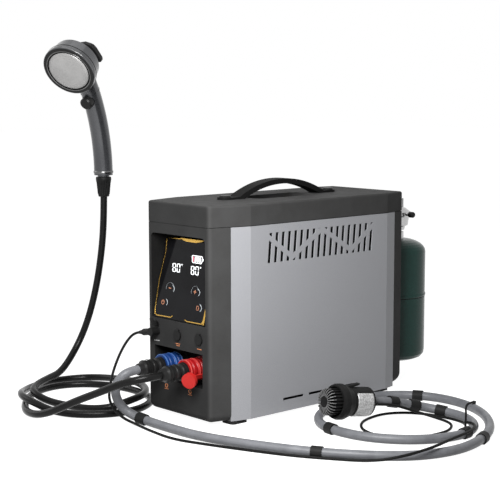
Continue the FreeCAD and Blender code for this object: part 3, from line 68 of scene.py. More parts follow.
class Shader:
    """Builds one procedural material, node by node."""

    # The mix node's colour sockets, which share their names with its number and vector ones.
    FIRST_TONE, SECOND_TONE, MIXED_TONE = 6, 7, 2

    def __init__(self, name):
        self.material = bpy.data.materials.new(name)
        self.material.use_nodes = True
        self.tree = self.material.node_tree
        self.surface = self.tree.nodes["Principled BSDF"]
        self.place = self.tree.nodes.new("ShaderNodeTexCoord").outputs["Object"]
        self.normal = None

    def link(self, source, target):
        self.tree.links.new(source, target)

    def stretched(self, scale):
        mapping = self.tree.nodes.new("ShaderNodeMapping")
        mapping.inputs["Scale"].default_value = scale
        self.link(self.place, mapping.inputs["Vector"])
        return mapping.outputs["Vector"]

    def noise(self, scale, detail=4.0, roughness=0.6, stretch=None):
        texture = self.tree.nodes.new("ShaderNodeTexNoise")
        texture.inputs["Scale"].default_value = scale
        texture.inputs["Detail"].default_value = detail
        texture.inputs["Roughness"].default_value = roughness
        self.link(self.stretched(stretch) if stretch else self.place, texture.inputs["Vector"])
        return texture.outputs["Fac"]

    def cells(self, scale):
        texture = self.tree.nodes.new("ShaderNodeTexVoronoi")
        texture.inputs["Scale"].default_value = scale
        self.link(self.place, texture.inputs["Vector"])
        return texture.outputs["Distance"]

    def ranged(self, source, low, high, start=0.3, end=0.7):
        """The source's stretch from start to end, laid out from low to high."""
        node = self.tree.nodes.new("ShaderNodeMapRange")
        node.inputs["From Min"].default_value = start
        node.inputs["From Max"].default_value = end
        node.inputs["To Min"].default_value = low
        node.inputs["To Max"].default_value = high
        self.link(source, node.inputs["Value"])
        return node.outputs["Result"]

    def blended(self, source, first, second, start=0.3, end=0.7):
        """A tone that goes from the first to the second as the source goes from start to end."""
        ramp = self.tree.nodes.new("ShaderNodeValToRGB")
        ramp.color_ramp.elements[0].position = start
        ramp.color_ramp.elements[1].position = end
        ramp.color_ramp.elements[0].color = (*first, 1)
        ramp.color_ramp.elements[1].color = (*second, 1)
        self.link(source, ramp.inputs["Fac"])
        return ramp.outputs["Color"]

    def along(self, axis):
        """The place along one axis, in metres."""
        split = self.tree.nodes.new("ShaderNodeSeparateXYZ")
        self.link(self.place, split.inputs["Vector"])
        return split.outputs[axis]

    def rise(self, axis, start, end):
        """Nought before a stretch of an axis and one after it."""
        return self.ranged(self.along(axis), 0, 1, start, end)

    def fall(self, axis, start, end):
        """One before a stretch of an axis and nought after it."""
        return self.ranged(self.along(axis), 1, 0, start, end)

    def mixed(self, share, first, second):
        """The first tone where the share is nought, and the second where it is one."""
        node = self.tree.nodes.new("ShaderNodeMix")
        node.data_type = "RGBA"
        self.link(share, node.inputs["Factor"])
        self.link(first, node.inputs[self.FIRST_TONE])
        self.link(second, node.inputs[self.SECOND_TONE])
        return node.outputs[self.MIXED_TONE]

    def times(self, first, second):
        node = self.tree.nodes.new("ShaderNodeMath")
        node.operation = "MULTIPLY"
        self.link(first, node.inputs[0])
        self.link(second, node.inputs[1])
        return node.outputs[0]

    def bump(self, source, distance, strength=1.0):
        node = self.tree.nodes.new("ShaderNodeBump")
        node.inputs["Strength"].default_value = strength
        node.inputs["Distance"].default_value = distance
        self.link(source, node.inputs["Height"])
        if self.normal:
            self.link(self.normal, node.inputs["Normal"])
        self.normal = node.outputs["Normal"]
        self.link(self.normal, self.surface.inputs["Normal"])

    def colour(self, source):
        self.link(source, self.surface.inputs["Base Color"])

    def roughness(self, source):
        self.link(source, self.surface.inputs["Roughness"])

    def constant(self, **values):
        names = {"metallic": "Metallic", "specular": "Specular IOR Level", "coat": "Coat Weight",
                 "coat_roughness": "Coat Roughness", "glow": "Emission Strength"}
        for name, value in values.items():
            self.surface.inputs[names[name]].default_value = value


def clouded(shader, first, second):
    """Two close tones in broad, soft patches."""
    return shader.blended(shader.noise(26, 5.0), first, second)


def shaded(name, first, second, rough, grain=(1800, 0.00002), **constants):
    """A moulded or painted surface: two close tones, uneven gloss and a grain of a scale and a depth."""
    shader = Shader(name)
    shader.colour(clouded(shader, first, second))
    shader.roughness(shader.ranged(shader.noise(60, 6.0, 0.7), *rough))
    if grain:
        scale, depth = grain
        shader.bump(shader.noise(scale, 2.0, 0.5), depth)
    shader.constant(**constants)
    return shader


def grey(level, warm=0.0):
    """A grey of one level, or a little warmer."""
    return (level * (1 + warm), level, level * (1 - warm))


# Where the housing's painted shade begins, in metres: behind its flat front, and at its recess's four sides.
FRONT_EDGE = (-0.1799, -0.1780)
RECESS_BACK = (-0.120, -0.118)
RECESS_TOP = (0.250, 0.252)
RECESS_RIGHT = (0.056, 0.058)
RECESS_LEFT = (-0.058, -0.056)


def housing_plastic_with_painted_shade():
    """Fine-textured black with painted shade: the flat front darker than the faceted sides, the recess
    darkest.
    """
    shader = shaded("dark_housing", grey(0.048, 0.01), grey(0.06), (0.55, 0.68), None, specular=0.03)
    sides = shader.surface.inputs["Base Color"].links[0].from_socket
    # The recess's near-black tone is painted shade.
    inside = shader.times(shader.times(shader.fall("Y", *RECESS_BACK), shader.fall("Z", *RECESS_TOP)),
                          shader.times(shader.fall("X", *RECESS_RIGHT), shader.rise("X", *RECESS_LEFT)))
    sides = shader.mixed(inside, sides, clouded(shader, grey(0.010), grey(0.014)))
    # The flat front's darker tone is painted shade.
    front = clouded(shader, grey(0.026), grey(0.033))
    shader.colour(shader.mixed(shader.rise("Y", *FRONT_EDGE), front, sides))
    shader.bump(shader.cells(2600), 0.000035, 0.55)
    shader.bump(shader.noise(620, 3.0), 0.00002, 0.6)
    return shader.material


def silver_paint():
    shader = Shader("silver_panel")
    flakes = shader.noise(5200, 1.0, 0.5)
    shader.colour(shader.blended(flakes, (0.285, 0.288, 0.304), (0.365, 0.369, 0.388), 0.35, 0.65))
    shader.roughness(shader.ranged(shader.noise(34, 5.0, 0.65), 0.4, 0.48))
    shader.bump(shader.noise(900, 3.0, 0.55), 0.000012, 0.7)
    shader.constant(metallic=0.05, specular=0.2)
    return shader.material


def dark_paint():
    shader = shaded("dark_sheet", grey(0.045), grey(0.06), (0.4, 0.52), (1400, 0.00002), specular=0.4)
    return shader.material


def rubber(name, level, rough=(0.6, 0.78), depth=0.00003, specular=0.12):
    shader = shaded(name, grey(level), grey(level * 1.35), rough, (1500, depth), specular=specular)
    return shader.material


def glass_black():
    shader = Shader("black_glass")
    shader.colour(shader.blended(shader.noise(22, 4.0), (0.004, 0.004, 0.0045), (0.007, 0.007, 0.008)))
    shader.roughness(shader.ranged(shader.noise(150, 8.0, 0.75), 0.06, 0.14))
    shader.bump(shader.noise(45, 2.0), 0.00001, 0.25)
    shader.constant(specular=0.1)
    return shader.material


def metal(name, first, second, rough, stretch=None, depth=0.00001, scale=900):
    """Bare metal with fine lines, drawn out where it is brushed."""
    shader = Shader(name)
    lines = shader.noise(scale, 4.0, 0.6, stretch)
    shader.colour(shader.blended(lines, first, second))
    shader.roughness(shader.ranged(shader.noise(90, 5.0), *rough))
    shader.bump(lines, depth, 0.6)
    shader.constant(metallic=1.0)
    return shader.material


def tinted_plastic(name, first, second, rough=(0.3, 0.42)):
    shader = shaded(name, first, second, rough, (1200, 0.00002), specular=0.22, coat=0.05,
                    coat_roughness=0.3)
    return shader.material


def bottle_paint():
    shader = Shader("bottle_green")
    shader.colour(shader.blended(shader.noise(18, 5.0), (0.010, 0.040, 0.033), (0.015, 0.056, 0.046)))
    shader.roughness(shader.ranged(shader.noise(46, 6.0, 0.7), 0.2, 0.3))
    shader.bump(shader.noise(260, 4.0, 0.6), 0.00004, 0.5)
    shader.constant(specular=0.14, coat=0.05, coat_roughness=0.12)
    return shader.material


def handset_paint():
    shader = Shader("gunmetal")
    flakes = shader.noise(6500, 1.0)
    shader.colour(shader.blended(flakes, (0.040, 0.041, 0.045), (0.068, 0.070, 0.075), 0.35, 0.65))
    shader.roughness(shader.ranged(shader.noise(80, 5.0), 0.2, 0.28))
    shader.bump(shader.noise(700, 2.0), 0.00001, 0.5)
    shader.constant(metallic=0.6, coat=0.4, coat_roughness=0.08)
    return shader.material


def foil():
    """A plain mottled silver foil patch."""
    shader = Shader("foil")
    shader.colour(shader.blended(shader.noise(420, 6.0, 0.75), grey(0.20), grey(0.66), 0.34, 0.66))
    shader.roughness(shader.ranged(shader.noise(240, 4.0), 0.3, 0.5))
    shader.bump(shader.noise(500, 4.0, 0.6), 0.00004, 0.6)
    shader.constant(metallic=0.3)
    return shader.material


def hose_rubber(name, first, second, rough, **constants):
    shader = Shader(name)
    shader.colour(shader.blended(shader.noise(60, 5.0, 0.65), first, second))
    shader.roughness(shader.ranged(shader.noise(170, 5.0, 0.7), *rough))
    shader.bump(shader.noise(900, 3.0, 0.6), 0.00004, 0.5)
    shader.constant(**constants)
    return shader.material


def glowing(name, colour, strength):
    """Lit print on the glass: slightly uneven, flat and soft."""
    shader = Shader(name)
    dimmer = tuple(level * 0.86 for level in colour)
    tone = shader.blended(shader.noise(900, 2.0), dimmer, colour)
    shader.colour(tone)
    shader.link(tone, shader.surface.inputs["Emission Color"])
    shader.roughness(shader.ranged(shader.noise(500, 3.0), 0.3, 0.4))
    shader.constant(glow=strength, specular=0.2)
    return shader.material


MATERIALS = {
    "dark_sheet": dark_paint(),
    "foot_rubber": rubber("foot_rubber", 0.014),
    "dark_housing": housing_plastic_with_painted_shade(),
    "silver_panel": silver_paint(),
    "black_glass": glass_black(),
    "gold_trim": metal("gold_trim", (0.50, 0.29, 0.05), (0.72, 0.46, 0.12), (0.2, 0.32)),
    "handle_rubber": rubber("handle_rubber", 0.008, (0.5, 0.62), 0.00002, 0.03),
    "dark_gloss": shaded("dark_gloss", grey(0.010), grey(0.015), (0.28, 0.4), specular=0.12).material,
    "steel": metal("steel", grey(0.5), grey(0.62), (0.28, 0.4), (1, 1, 40)),
    "cap_rubber": rubber("cap_rubber", 0.0075, (0.42, 0.55), 0.00003, 0.1),
    "blue_plastic": tinted_plastic("blue_plastic", (0.005, 0.026, 0.12), (0.008, 0.043, 0.18)),
    "red_plastic": tinted_plastic("red_plastic", (0.25, 0.005, 0.007), (0.36, 0.010, 0.011)),
    "red_rubber": tinted_plastic("red_rubber", (0.38, 0.012, 0.012), (0.49, 0.022, 0.018), (0.38, 0.5)),
    "copper": metal("copper", (0.58, 0.29, 0.17), (0.74, 0.42, 0.27), (0.25, 0.45)),
    "ceramic": shaded("ceramic", (0.74, 0.73, 0.69), (0.82, 0.81, 0.77), (0.2, 0.35)).material,
    "battery_wrap": tinted_plastic("battery_wrap", (0.05, 0.13, 0.30), (0.07, 0.18, 0.38)),
    "brass": metal("brass", (0.58, 0.44, 0.18), (0.72, 0.57, 0.27), (0.22, 0.36)),
    "board_green": tinted_plastic("board_green", (0.01, 0.10, 0.035), (0.015, 0.15, 0.05)),
    "regulator_metal": metal("regulator_metal", grey(0.36), grey(0.5), (0.18, 0.3), None, 0.00002, 1400),
    "bottle_green": bottle_paint(),
    "gunmetal": handset_paint(),
    "spray_grey": shaded("spray_grey", grey(0.27, 0.01), grey(0.36, 0.01), (0.34, 0.46),
                         metallic=0.5).material,
    "black_hose": hose_rubber("black_hose", grey(0.005), grey(0.009), (0.22, 0.32), specular=0.12),
    "grey_hose": hose_rubber("grey_hose", (0.115, 0.118, 0.128), (0.165, 0.169, 0.181), (0.36, 0.5),
                             specular=0.3, coat=0.06, coat_roughness=0.3),
    "cable_black": hose_rubber("cable_black", grey(0.006), grey(0.010), (0.4, 0.5), specular=0.06),
    "strap_black": rubber("strap_black", 0.009, (0.5, 0.62)),
    "pump_plastic": shaded("pump_plastic", grey(0.008), grey(0.013), (0.4, 0.55), (1600, 0.00003),
                           specular=0.06).material,
    "lit_white": glowing("lit_white", (0.90, 0.92, 0.94), 0.8),
    "lit_pale": glowing("lit_pale", (0.36, 0.39, 0.41), 0.5),
    "lit_amber": glowing("lit_amber", (0.38, 0.16, 0.09), 0.5),
    "lit_red": glowing("lit_red", (0.50, 0.13, 0.17), 0.6),
    "print_amber": shaded("print_amber", (0.50, 0.17, 0.06), (0.60, 0.22, 0.09), (0.5, 0.6)).material,
    "print_white": shaded("print_white", grey(0.34), grey(0.42), (0.5, 0.6)).material,
    # Near-black painted shade for grooves, hollows, the seam's underside and the space behind the louvres.
    "painted_shade_black": shaded("painted_shade_black", grey(0.006), grey(0.010), (0.7, 0.85), specular=0.1).material,
    "dark_chrome": metal("dark_chrome", grey(0.10), grey(0.17), (0.14, 0.22)),
    # Lighter copies of the sleeve plastics, painted highlights for the sleeves' ridges.
    "blue_plastic_light": tinted_plastic("blue_plastic_light", (0.05, 0.12, 0.32), (0.08, 0.17, 0.40)),
    "red_plastic_light": tinted_plastic("red_plastic_light", (0.50, 0.05, 0.045), (0.60, 0.09, 0.08)),
    # A pale grey for painted highlights on the strainer's fin edges.
    "painted_highlight_plastic": shaded("painted_highlight_plastic", grey(0.10), grey(0.15), (0.45, 0.55)).material,
    "foil": foil(),
}
SLOTS = {row["node"]: row["material_slot"] for row in frame["record"]["subparts"]}


def dress(piece, slot):
    piece.data.materials.clear()
    piece.data.materials.append(MATERIALS[slot])


for node_name, shell in nodes.items():
    dress(shell, SLOTS[node_name])


# ---------------------------------------------------------------- piece helpers

def added(name, data, body="heater", slot=None, finish=None):
    """A piece on a body, in its slot's material or in a finish of its own."""
    item = bpy.data.objects.new(name, data)
    scene.collection.objects.link(item)
    item.data.materials.append(MATERIALS[finish or slot])
    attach(item, body)
    return item


def piece(name, shape, body="heater", slot=None, finish=None, crease=32):
    """A mesh piece from finished bmesh work, smooth except at creases."""
    bmesh.ops.recalc_face_normals(shape, faces=shape.faces)
    mesh = bpy.data.meshes.new(name)
    shape.to_mesh(mesh)
    shape.free()
    mesh.shade_smooth()
    mesh.set_sharp_from_angle(angle=math.radians(crease))
    return added(name, mesh, body, slot, finish)


def soften(item, width, segments=2):
    edges = item.modifiers.new("soft_edges", "BEVEL")
    edges.width = width * MM
    edges.segments = segments
    edges.limit_method = "ANGLE"
    edges.angle_limit = math.radians(30)


def thicken(item, depth):
    wall = item.modifiers.new("wall", "SOLIDIFY")
    wall.thickness = depth * MM
    wall.offset = 0


def turned(shape, profile, at, steps, share=None):
    """A closed surface of revolution about a frame's Z axis, from corners of radius and height.

    Where share is given, it says how much of the radius stands at an angle and a height."""
    rings = []
    for radius, height in profile:
        if radius == 0:
            rings.append([shape.verts.new(at @ mm(0, 0, height))])
            continue
        ring = []
        for index in range(steps):
            angle = 2 * math.pi * index / steps
            reach = radius * (share(angle, height) if share else 1)
            ring.append(shape.verts.new(at @ mm(reach * math.cos(angle), reach * math.sin(angle), height)))
        rings.append(ring)
    pairs = list(zip(rings, rings[1:]))
    if len(rings[0]) > 1 and len(rings[-1]) > 1:
        pairs.append((rings[-1], rings[0]))
    for lower, upper in pairs:
        for index in range(steps):
            near, far = index, (index + 1) % steps
            corners = [lower[near % len(lower)], lower[far % len(lower)],
                       upper[far % len(upper)], upper[near % len(upper)]]
            shape.faces.new(list(dict.fromkeys(corners)))


def prism(shape, outline, at, low, high):
    """A flat block over an outline in the XY plane of a frame, between two levels."""
    below = [shape.verts.new(at @ mm(x, y, low)) for x, y in outline]
    above = [shape.verts.new(at @ mm(x, y, high)) for x, y in outline]
    shape.faces.new(below[::-1])
    shape.faces.new(above)
    for index in range(len(outline)):
        after = (index + 1) % len(outline)
        shape.faces.new((below[index], below[after], above[after], above[index]))


def band(shape, points, width, at, low, high):
    """A raised line of one width along points in the XY plane of a frame."""
    rows = []
    for index, (x, y) in enumerate(points):
        before = Vector(points[max(index - 1, 0)])
        after = Vector(points[min(index + 1, len(points) - 1)])
        ahead = (after - before).normalized() * width / 2
        rows.append([shape.verts.new(at @ mm(x + across * ahead.y, y - across * ahead.x, level))
                     for across, level in ((1, low), (1, high), (-1, high), (-1, low))])
    for first, second in zip(rows, rows[1:]):
        for index in range(4):
            after = (index + 1) % 4
            shape.faces.new((first[index], first[after], second[after], second[index]))
    shape.faces.new(rows[0][::-1])
    shape.faces.new(rows[-1])


def arc(middle, radius, start, end, steps):
    """Points round a middle, from one angle to another in degrees."""
    points = []
    for index in range(steps + 1):
        angle = math.radians(start + (end - start) * index / steps)
        points.append((middle[0] + radius * math.cos(angle), middle[1] + radius * math.sin(angle)))
    return points


def through(first, second, third, steps):
    """A smooth line from the first point to the third, through the second."""
    first, second, third = Vector(first), Vector(second), Vector(third)
    pull = 2 * second - (first + third) / 2
    return [tuple(first.lerp(pull, t / steps).lerp(pull.lerp(third, t / steps), t / steps))
            for t in range(steps + 1)]


# ---------------------------------------------------------------- camera, floor and light

CAMERA_PLACE = (1346.9, -1266.9, 442.5)
CAMERA_YAW, CAMERA_PITCH, CAMERA_ROLL = 47.955, 7.149, -0.07
LENS = 96.225
FLOOR_TONE, FLOOR_SEEN = 0.36, 0.97
SKY_SEEN, SKY_LIGHT = 1.0, 0.13


def make_camera():
    """The photograph's view: level first, then turned left by the yaw and down by the pitch."""
    camera = bpy.data.objects.new("camera", bpy.data.cameras.new("camera"))
    camera.data.sensor_width = 36
    camera.data.lens = LENS
    camera.data.clip_end = 60
    camera.matrix_world = (moved(*CAMERA_PLACE) @ rotated(CAMERA_YAW, "Z") @ rotated(90 - CAMERA_PITCH, "X")
                           @ rotated(CAMERA_ROLL, "Z"))
    scene.collection.objects.link(camera)
    scene.camera = camera


make_camera()


def seen_strength(tree, seen, lit):
    """A strength for what the camera, gloss and glass see, and another for the light that it gives."""
    rays = tree.nodes.new("ShaderNodeLightPath")
    total = rays.outputs["Is Camera Ray"]
    for kind in ("Is Glossy Ray", "Is Transmission Ray"):
        either = tree.nodes.new("ShaderNodeMath")
        either.operation = "ADD"
        either.use_clamp = True
        tree.links.new(total, either.inputs[0])
        tree.links.new(rays.outputs[kind], either.inputs[1])
        total = either.outputs[0]
    strength = tree.nodes.new("ShaderNodeMapRange")
    strength.inputs["To Min"].default_value = lit
    strength.inputs["To Max"].default_value = seen
    tree.links.new(total, strength.inputs["Value"])
    return strength.outputs["Result"]


def make_floor():
    """White paper that is seen bright but lights nothing by itself, so that shadows stay soft on it."""
    mesh = bpy.data.meshes.new("floor")
    shape = bmesh.new()
    bmesh.ops.create_grid(shape, x_segments=4, y_segments=4, size=9)
    shape.to_mesh(mesh)
    shape.free()
    floor = bpy.data.objects.new("floor", mesh)
    scene.collection.objects.link(floor)
    material = bpy.data.materials.new("floor")
    material.use_nodes = True
    tree = material.node_tree
    tree.nodes.clear()
    paper = tree.nodes.new("ShaderNodeBsdfDiffuse")
    paper.inputs["Color"].default_value = (*grey(FLOOR_TONE), 1)
    lift = tree.nodes.new("ShaderNodeEmission")
    tree.links.new(seen_strength(tree, FLOOR_SEEN, 0.0), lift.inputs["Strength"])
    total = tree.nodes.new("ShaderNodeAddShader")
    tree.links.new(paper.outputs[0], total.inputs[0])
    tree.links.new(lift.outputs[0], total.inputs[1])
    output = tree.nodes.new("ShaderNodeOutputMaterial")
    tree.links.new(total.outputs[0], output.inputs["Surface"])
    mesh.materials.append(material)


def make_world():
    world = bpy.data.worlds.new("studio")
    scene.world = world
    world.use_nodes = True
    tree = world.node_tree
    background = tree.nodes["Background"]
    background.inputs["Color"].default_value = (1, 1, 1, 1)
    tree.links.new(seen_strength(tree, SKY_SEEN, SKY_LIGHT), background.inputs["Strength"])


def lamp(name, place, target, size, power):
    """A square lamp in metres and watts, which the camera doesn't see."""
    data = bpy.data.lights.new(name, "AREA")
    data.size = size
    data.energy = power
    light = bpy.data.objects.new(name, data)
    light.visible_camera = False
    light.location = place
    light.rotation_mode = "QUATERNION"
    light.rotation_quaternion = (Vector(target) - Vector(place)).to_track_quat("-Z", "Y")
    scene.collection.objects.link(light)


make_floor()
make_world()
lamp("key", (0.40, -0.60, 0.56), (0.05, -0.17, 0.14), 0.4, 10.5)
lamp("top", (-0.1, -0.1, 1.6), (0, 0, 0), 1.2, 3.6)
lamp("side", (-1.5, -0.9, 0.9), (-0.1, -0.1, 0.2), 0.9, 4)


# ---------------------------------------------------------------- hoses and cable

def strand(name, route, radius, slot):
    """A smooth NURBS cord with the route's points as its control points."""
    curve = bpy.data.curves.new(name, "CURVE")
    curve.dimensions = "3D"
    curve.bevel_depth = radius * MM
    curve.bevel_resolution = 7
    curve.resolution_u = 10
    curve.use_fill_caps = True
    spline = curve.splines.new("NURBS")
    spline.points.add(len(route) - 1)
    for point, place in zip(spline.points, route):
        point.co = (*mm(*place), 1)
    spline.order_u = 3
    spline.use_endpoint_u = True
    return added(name, curve, slot=slot)


SHOWER_RADIUS, SUCTION_RADIUS, CABLE_RADIUS = 5, 6, 1.8
# The loose turns in the photograph all differ, so every point of the three routes is given one by one.
SHOWER_ROUTE = [
    (24, -228, 70), (24, -244, 70), (14, -260, 67), (-6, -273, 60), (-30, -285, 48), (-58, -299, 35),
    (-84, -312, 21), (-105, -319, 11.5), (-129, -322, 6.5), (-158, -316, 5.2), (-191, -296, 5.2),
    (-226, -267, 5.2), (-250, -232, 5.2), (-255, -194, 5.2), (-236, -160, 5.2), (-200, -139, 5.2),
    (-160, -134, 5.2), (-123, -138, 5.2), (-95, -151, 5.2), (-76, -171, 5.2), (-64, -196, 5.2),
    (-62, -225, 5.2), (-73, -253, 5.2), (-97, -280, 5.4), (-126, -297, 8), (-154, -305, 15.5),
    (-180, -305, 18.5), (-206, -293, 17.5), (-243, -266, 9.5), (-274, -228, 6.3), (-286, -191, 5.3),
    (-282, -159, 5.3), (-264, -131, 6.2), (-223, -121, 9.8), (-167, -127, 15.8), (-124, -141, 17.6),
    (-98, -158, 17.6), (-80, -180, 17.6), (-75, -206, 15.5), (-84, -230, 8.5), (-108, -248, 5.6),
    (-142, -259, 5.7), (-170, -270, 8.3), (-190, -277, 14.5), (-210, -271, 18), (-228, -252, 20.2),
    (-242, -224, 22.1), (-254, -192, 25), (-268, -153, 58), (-257, -141, 98), (-249, -132, 145),
    (-243.5, -126, 195), (-240.9, -123, 240), (-240.5, -122.5, 277.2)]
SUCTION_ROUTE = [
    (-24, -228, 70), (-24, -241, 70), (-29, -252, 63.5), (-35, -257, 50), (-38, -254, 35),
    (-36, -246, 20.5), (-25, -237, 10.5), (-2, -231, 6.4), (40, -232, 6.2), (100, -230, 6.2),
    (160, -213, 6.2), (216, -191, 6.2), (266, -165, 6.2), (311, -132, 6.2), (344, -93, 6.2),
    (358, -46, 6.2), (353, 3, 6.2), (330, 58, 6.2), (288, 108, 6.2), (240, 140, 6.2), (190, 151, 6.2),
    (146, 142, 6.2), (113, 114, 6.2), (97, 74, 6.2), (97, 30, 6.2), (110, -14, 6.2), (132, -53, 6.2),
    (166, -80, 6.2), (209, -86, 6.2), (252, -77, 6.2), (290, -50, 6.2), (313, -12, 6.2), (317, 30, 6.2),
    (299, 68, 6.2), (266, 90, 6.2), (232, 92, 7), (206, 78, 11), (193, 51, 18), (190.1, 22.3, 25.6),
    (185, -11.6, 30)]
CABLE_ROUTE = [
    (-73, -187.5, 107.8), (-82.5, -189, 105.8), (-88, -197, 96), (-84, -211, 83), (-73, -228, 70),
    (-57, -246, 59), (-44.5, -259, 47), (-44, -261, 32), (-41, -254, 17), (-31, -247.5, 7),
    (-10, -244, 3), (24, -248, 2), (76, -253, 2), (118, -240, 2), (156, -226, 2), (196, -210, 2),
    (232, -194.5, 2), (274, -169, 2), (316, -143, 3), (342, -120, 10), (356, -84, 17), (347, -42, 17),
    (342, -8, 17), (334, 22, 17), (318, 40, 17), (300, 42, 15), (289, 60, 6), (265, 81, 2), (238, 83, 2),
    (208, 74, 3), (182, 63, 2), (168, 38, 2), (170, 8, 2), (180, -20, 2), (203, -44, 2), (234, -53, 2),
    (263, -42, 2), (281, -16, 2), (285, 14, 2), (281, 40, 2), (261, 66, 2), (229, 67, 4), (206, 46, 13),
    (198, 18, 24), (195.4, -11.8, 27.6)]

shower_hose = strand("shower_hose", SHOWER_ROUTE, SHOWER_RADIUS, "black_hose")
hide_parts("shower_hose_lead", "shower_hose_coil", "shower_hose_riser")
suction_hose = strand("suction_hose_line", SUCTION_ROUTE, SUCTION_RADIUS, "grey_hose")
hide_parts("suction_hose")
pump_cable = strand("pump_cable_line", CABLE_ROUTE, CABLE_RADIUS, "cable_black")
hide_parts("pump_cable")


# ---------------------------------------------------------------- display

TILT = 11.2                   # degrees by which the glass leans back
GLASS = moved(0, -178.5, 132) @ rotated(90 - TILT, "X")
LIT = (0.02, 0.22)            # levels of the lit signs above the glass
FINE = (0.02, 0.2)
FAINT = (0.02, 0.16)
RAISED = (0.05, 0.7)

READINGS = ([(-29.8, 74.0), (-12.4, 74.4), (-11.4, 62.6), (-27.4, 62.4)],
            [(8.6, 73.9), (25.6, 74.6), (26.8, 62.8), (10.8, 62.6)])
BAR = [(0.18, 0.99), (0.82, 0.99), (0.70, 0.90), (0.30, 0.90)]
POST = [(0.06, 0.92), (0.12, 0.96), (0.24, 0.85), (0.24, 0.60), (0.16, 0.54), (0.06, 0.58)]
MIDDLE = [(0.22, 0.5), (0.32, 0.545), (0.68, 0.545), (0.78, 0.5), (0.68, 0.455), (0.32, 0.455)]


def between(corners, u, v):
    """A point inside a four-cornered cell, from its left to its right and from its foot to its head."""
    top_left, top_right, low_right, low_left = (Vector(corner) for corner in corners)
    return top_left.lerp(top_right, u).lerp(low_left.lerp(low_right, u), 1 - v)


def seven_segments(shape, cell, middle):
    """An eight, or a nought where the middle bar is left out."""
    parts = [BAR, [(u, 1 - v) for u, v in BAR]]
    for post in (POST, [(1 - u, v) for u, v in POST]):
        parts += [post, [(u, 1 - v) for u, v in post]]
    if middle:
        parts.append(MIDDLE)
    for part in parts:
        prism(shape, [between(cell, u, v) for u, v in part], GLASS, *LIT)


def make_digits():
    """Two readings of 80 with their degree rings, and a battery with three of its bars."""
    shape = bmesh.new()
    for corners in READINGS:
        for start, end, middle in ((0.0, 0.47, True), (0.53, 1.0, False)):
            cell = [between(corners, u, v) for u, v in ((start, 1), (end, 1), (end, 0), (start, 0))]
            seven_segments(shape, cell, middle)
    for x in (-9.6, 28.6):
        band(shape, arc((x, 73.4), 0.9, 0, 360, 10), 0.5, GLASS, *FINE)
    battery = [(8.6, 86.6), (9.6, 87.6), (28.6, 87.6), (29.8, 86.6), (29.4, 79.6), (28.4, 78.5),
               (11.6, 78.5), (10.6, 79.4), (8.6, 86.6), (9.6, 87.6)]
    band(shape, battery, 1.0, GLASS, *LIT)
    for left in (14.6, 19.0, 23.4):
        bar = [(left, 86.2), (left + 3.2, 86.2), (left + 3.5, 79.9), (left + 0.4, 79.9)]
        prism(shape, bar, GLASS, *FINE)
    prism(shape, [(30.4, 85.2), (31.9, 84.6), (31.7, 81.6), (30.2, 81.0)], GLASS, *LIT)
    piece("display_digits", shape, slot="black_glass", finish="lit_white")


def make_battery_bar():
    shape = bmesh.new()
    prism(shape, [(10.4, 86.2), (13.0, 86.2), (14.0, 79.9), (11.9, 79.9)], GLASS, *LIT)
    piece("display_battery_bar", shape, slot="black_glass", finish="lit_red")


def make_keys():
    """A minus, a plus, a power sign and a sign of two corners."""
    shape = bmesh.new()
    band(shape, [(-29.6, 40.4), (-25.0, 40.4)], 1.2, GLASS, *FINE)
    band(shape, [(22.0, 41.0), (27.0, 41.0)], 1.2, GLASS, *FINE)
    for low, high in ((38.6, 40.3), (41.7, 43.4)):
        band(shape, [(24.5, low), (24.5, high)], 1.2, GLASS, *FINE)
    band(shape, arc((-37.8, 20.4), 2.7, 118, 422, 20), 0.9, GLASS, *FINE)
    band(shape, [(-37.8, 20.2), (-37.8, 23.8)], 0.9, GLASS, *FINE)
    band(shape, [(32.2, 19.2), (32.2, 23.4), (35.6, 23.4)], 0.9, GLASS, *FINE)
    band(shape, [(32.8, 18.6), (36.0, 18.6), (36.0, 22.4)], 0.9, GLASS, *FINE)
    piece("display_keys", shape, slot="black_glass", finish="lit_amber")


def make_key_arcs():
    """A pale arc beside each key, and a faint one over two of them."""
    shape = bmesh.new()
    for first, second, third in (((-22.6, 45.2), (-18.4, 41.4), (-19.3, 36.8)),
                                 ((28.8, 45.7), (34.1, 41.8), (32.3, 36.7)),
                                 ((-31.9, 25.2), (-28.3, 21.5), (-29.6, 17.3)),
                                 ((37.5, 26.4), (41.8, 22.2), (39.8, 17.3))):
        band(shape, through(first, second, third, 9), 0.85, GLASS, *FINE)
    for x, v in ((-27.5, 40.4), (24.4, 41.0)):
        band(shape, arc((x, v), 7.6, 20, 200, 18), 0.16, GLASS, *FAINT)
    piece("display_arcs", shape, slot="black_glass", finish="lit_pale")


def make_trim():
    """The gold line round the display, broken at its foot, with a wedge at its head and at one corner."""
    shape = bmesh.new()
    left = [(-20, 107.0), (-46.4, 106.2), (-48.7, 104.6), (-47.0, 88.2), (-50.8, 58.1), (-52.0, 52.5),
            (-51.9, 9.1), (-50.7, 4.2), (-46.3, 1.9), (-16.6, 2.5), (-13.4, 4.9)]
    right = [(12.4, 2.9), (17, 1.4), (49.4, 1.7), (51.0, 3.2)]
    for line in (left, right):
        band(shape, line, 1.25, GLASS, *RAISED)
    corner = [(44.6, 0.9), (51.4, 0.9), (51.9, 5.0), (51.6, 22.4), (49.9, 22.4), (48.6, 7.2), (46.6, 3.4)]
    prism(shape, corner, GLASS, *RAISED)
    head = [(-21.4, 107.9), (-16.4, 108.5), (29.0, 108.6), (24.0, 106.4), (13.0, 104.4), (-6.4, 104.4),
            (-13.4, 105.8)]
    prism(shape, head, GLASS, 0.1, 1.1)
    trim = piece("display_trim", shape, slot="gold_trim")
    soften(trim, 0.12)
    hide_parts("control_trim")


# ---------------------------------------------------------------- front print and vent screens

FRONT = moved(0, -180, 0) @ rotated(90, "X")
PRINT = (0, 0.14)


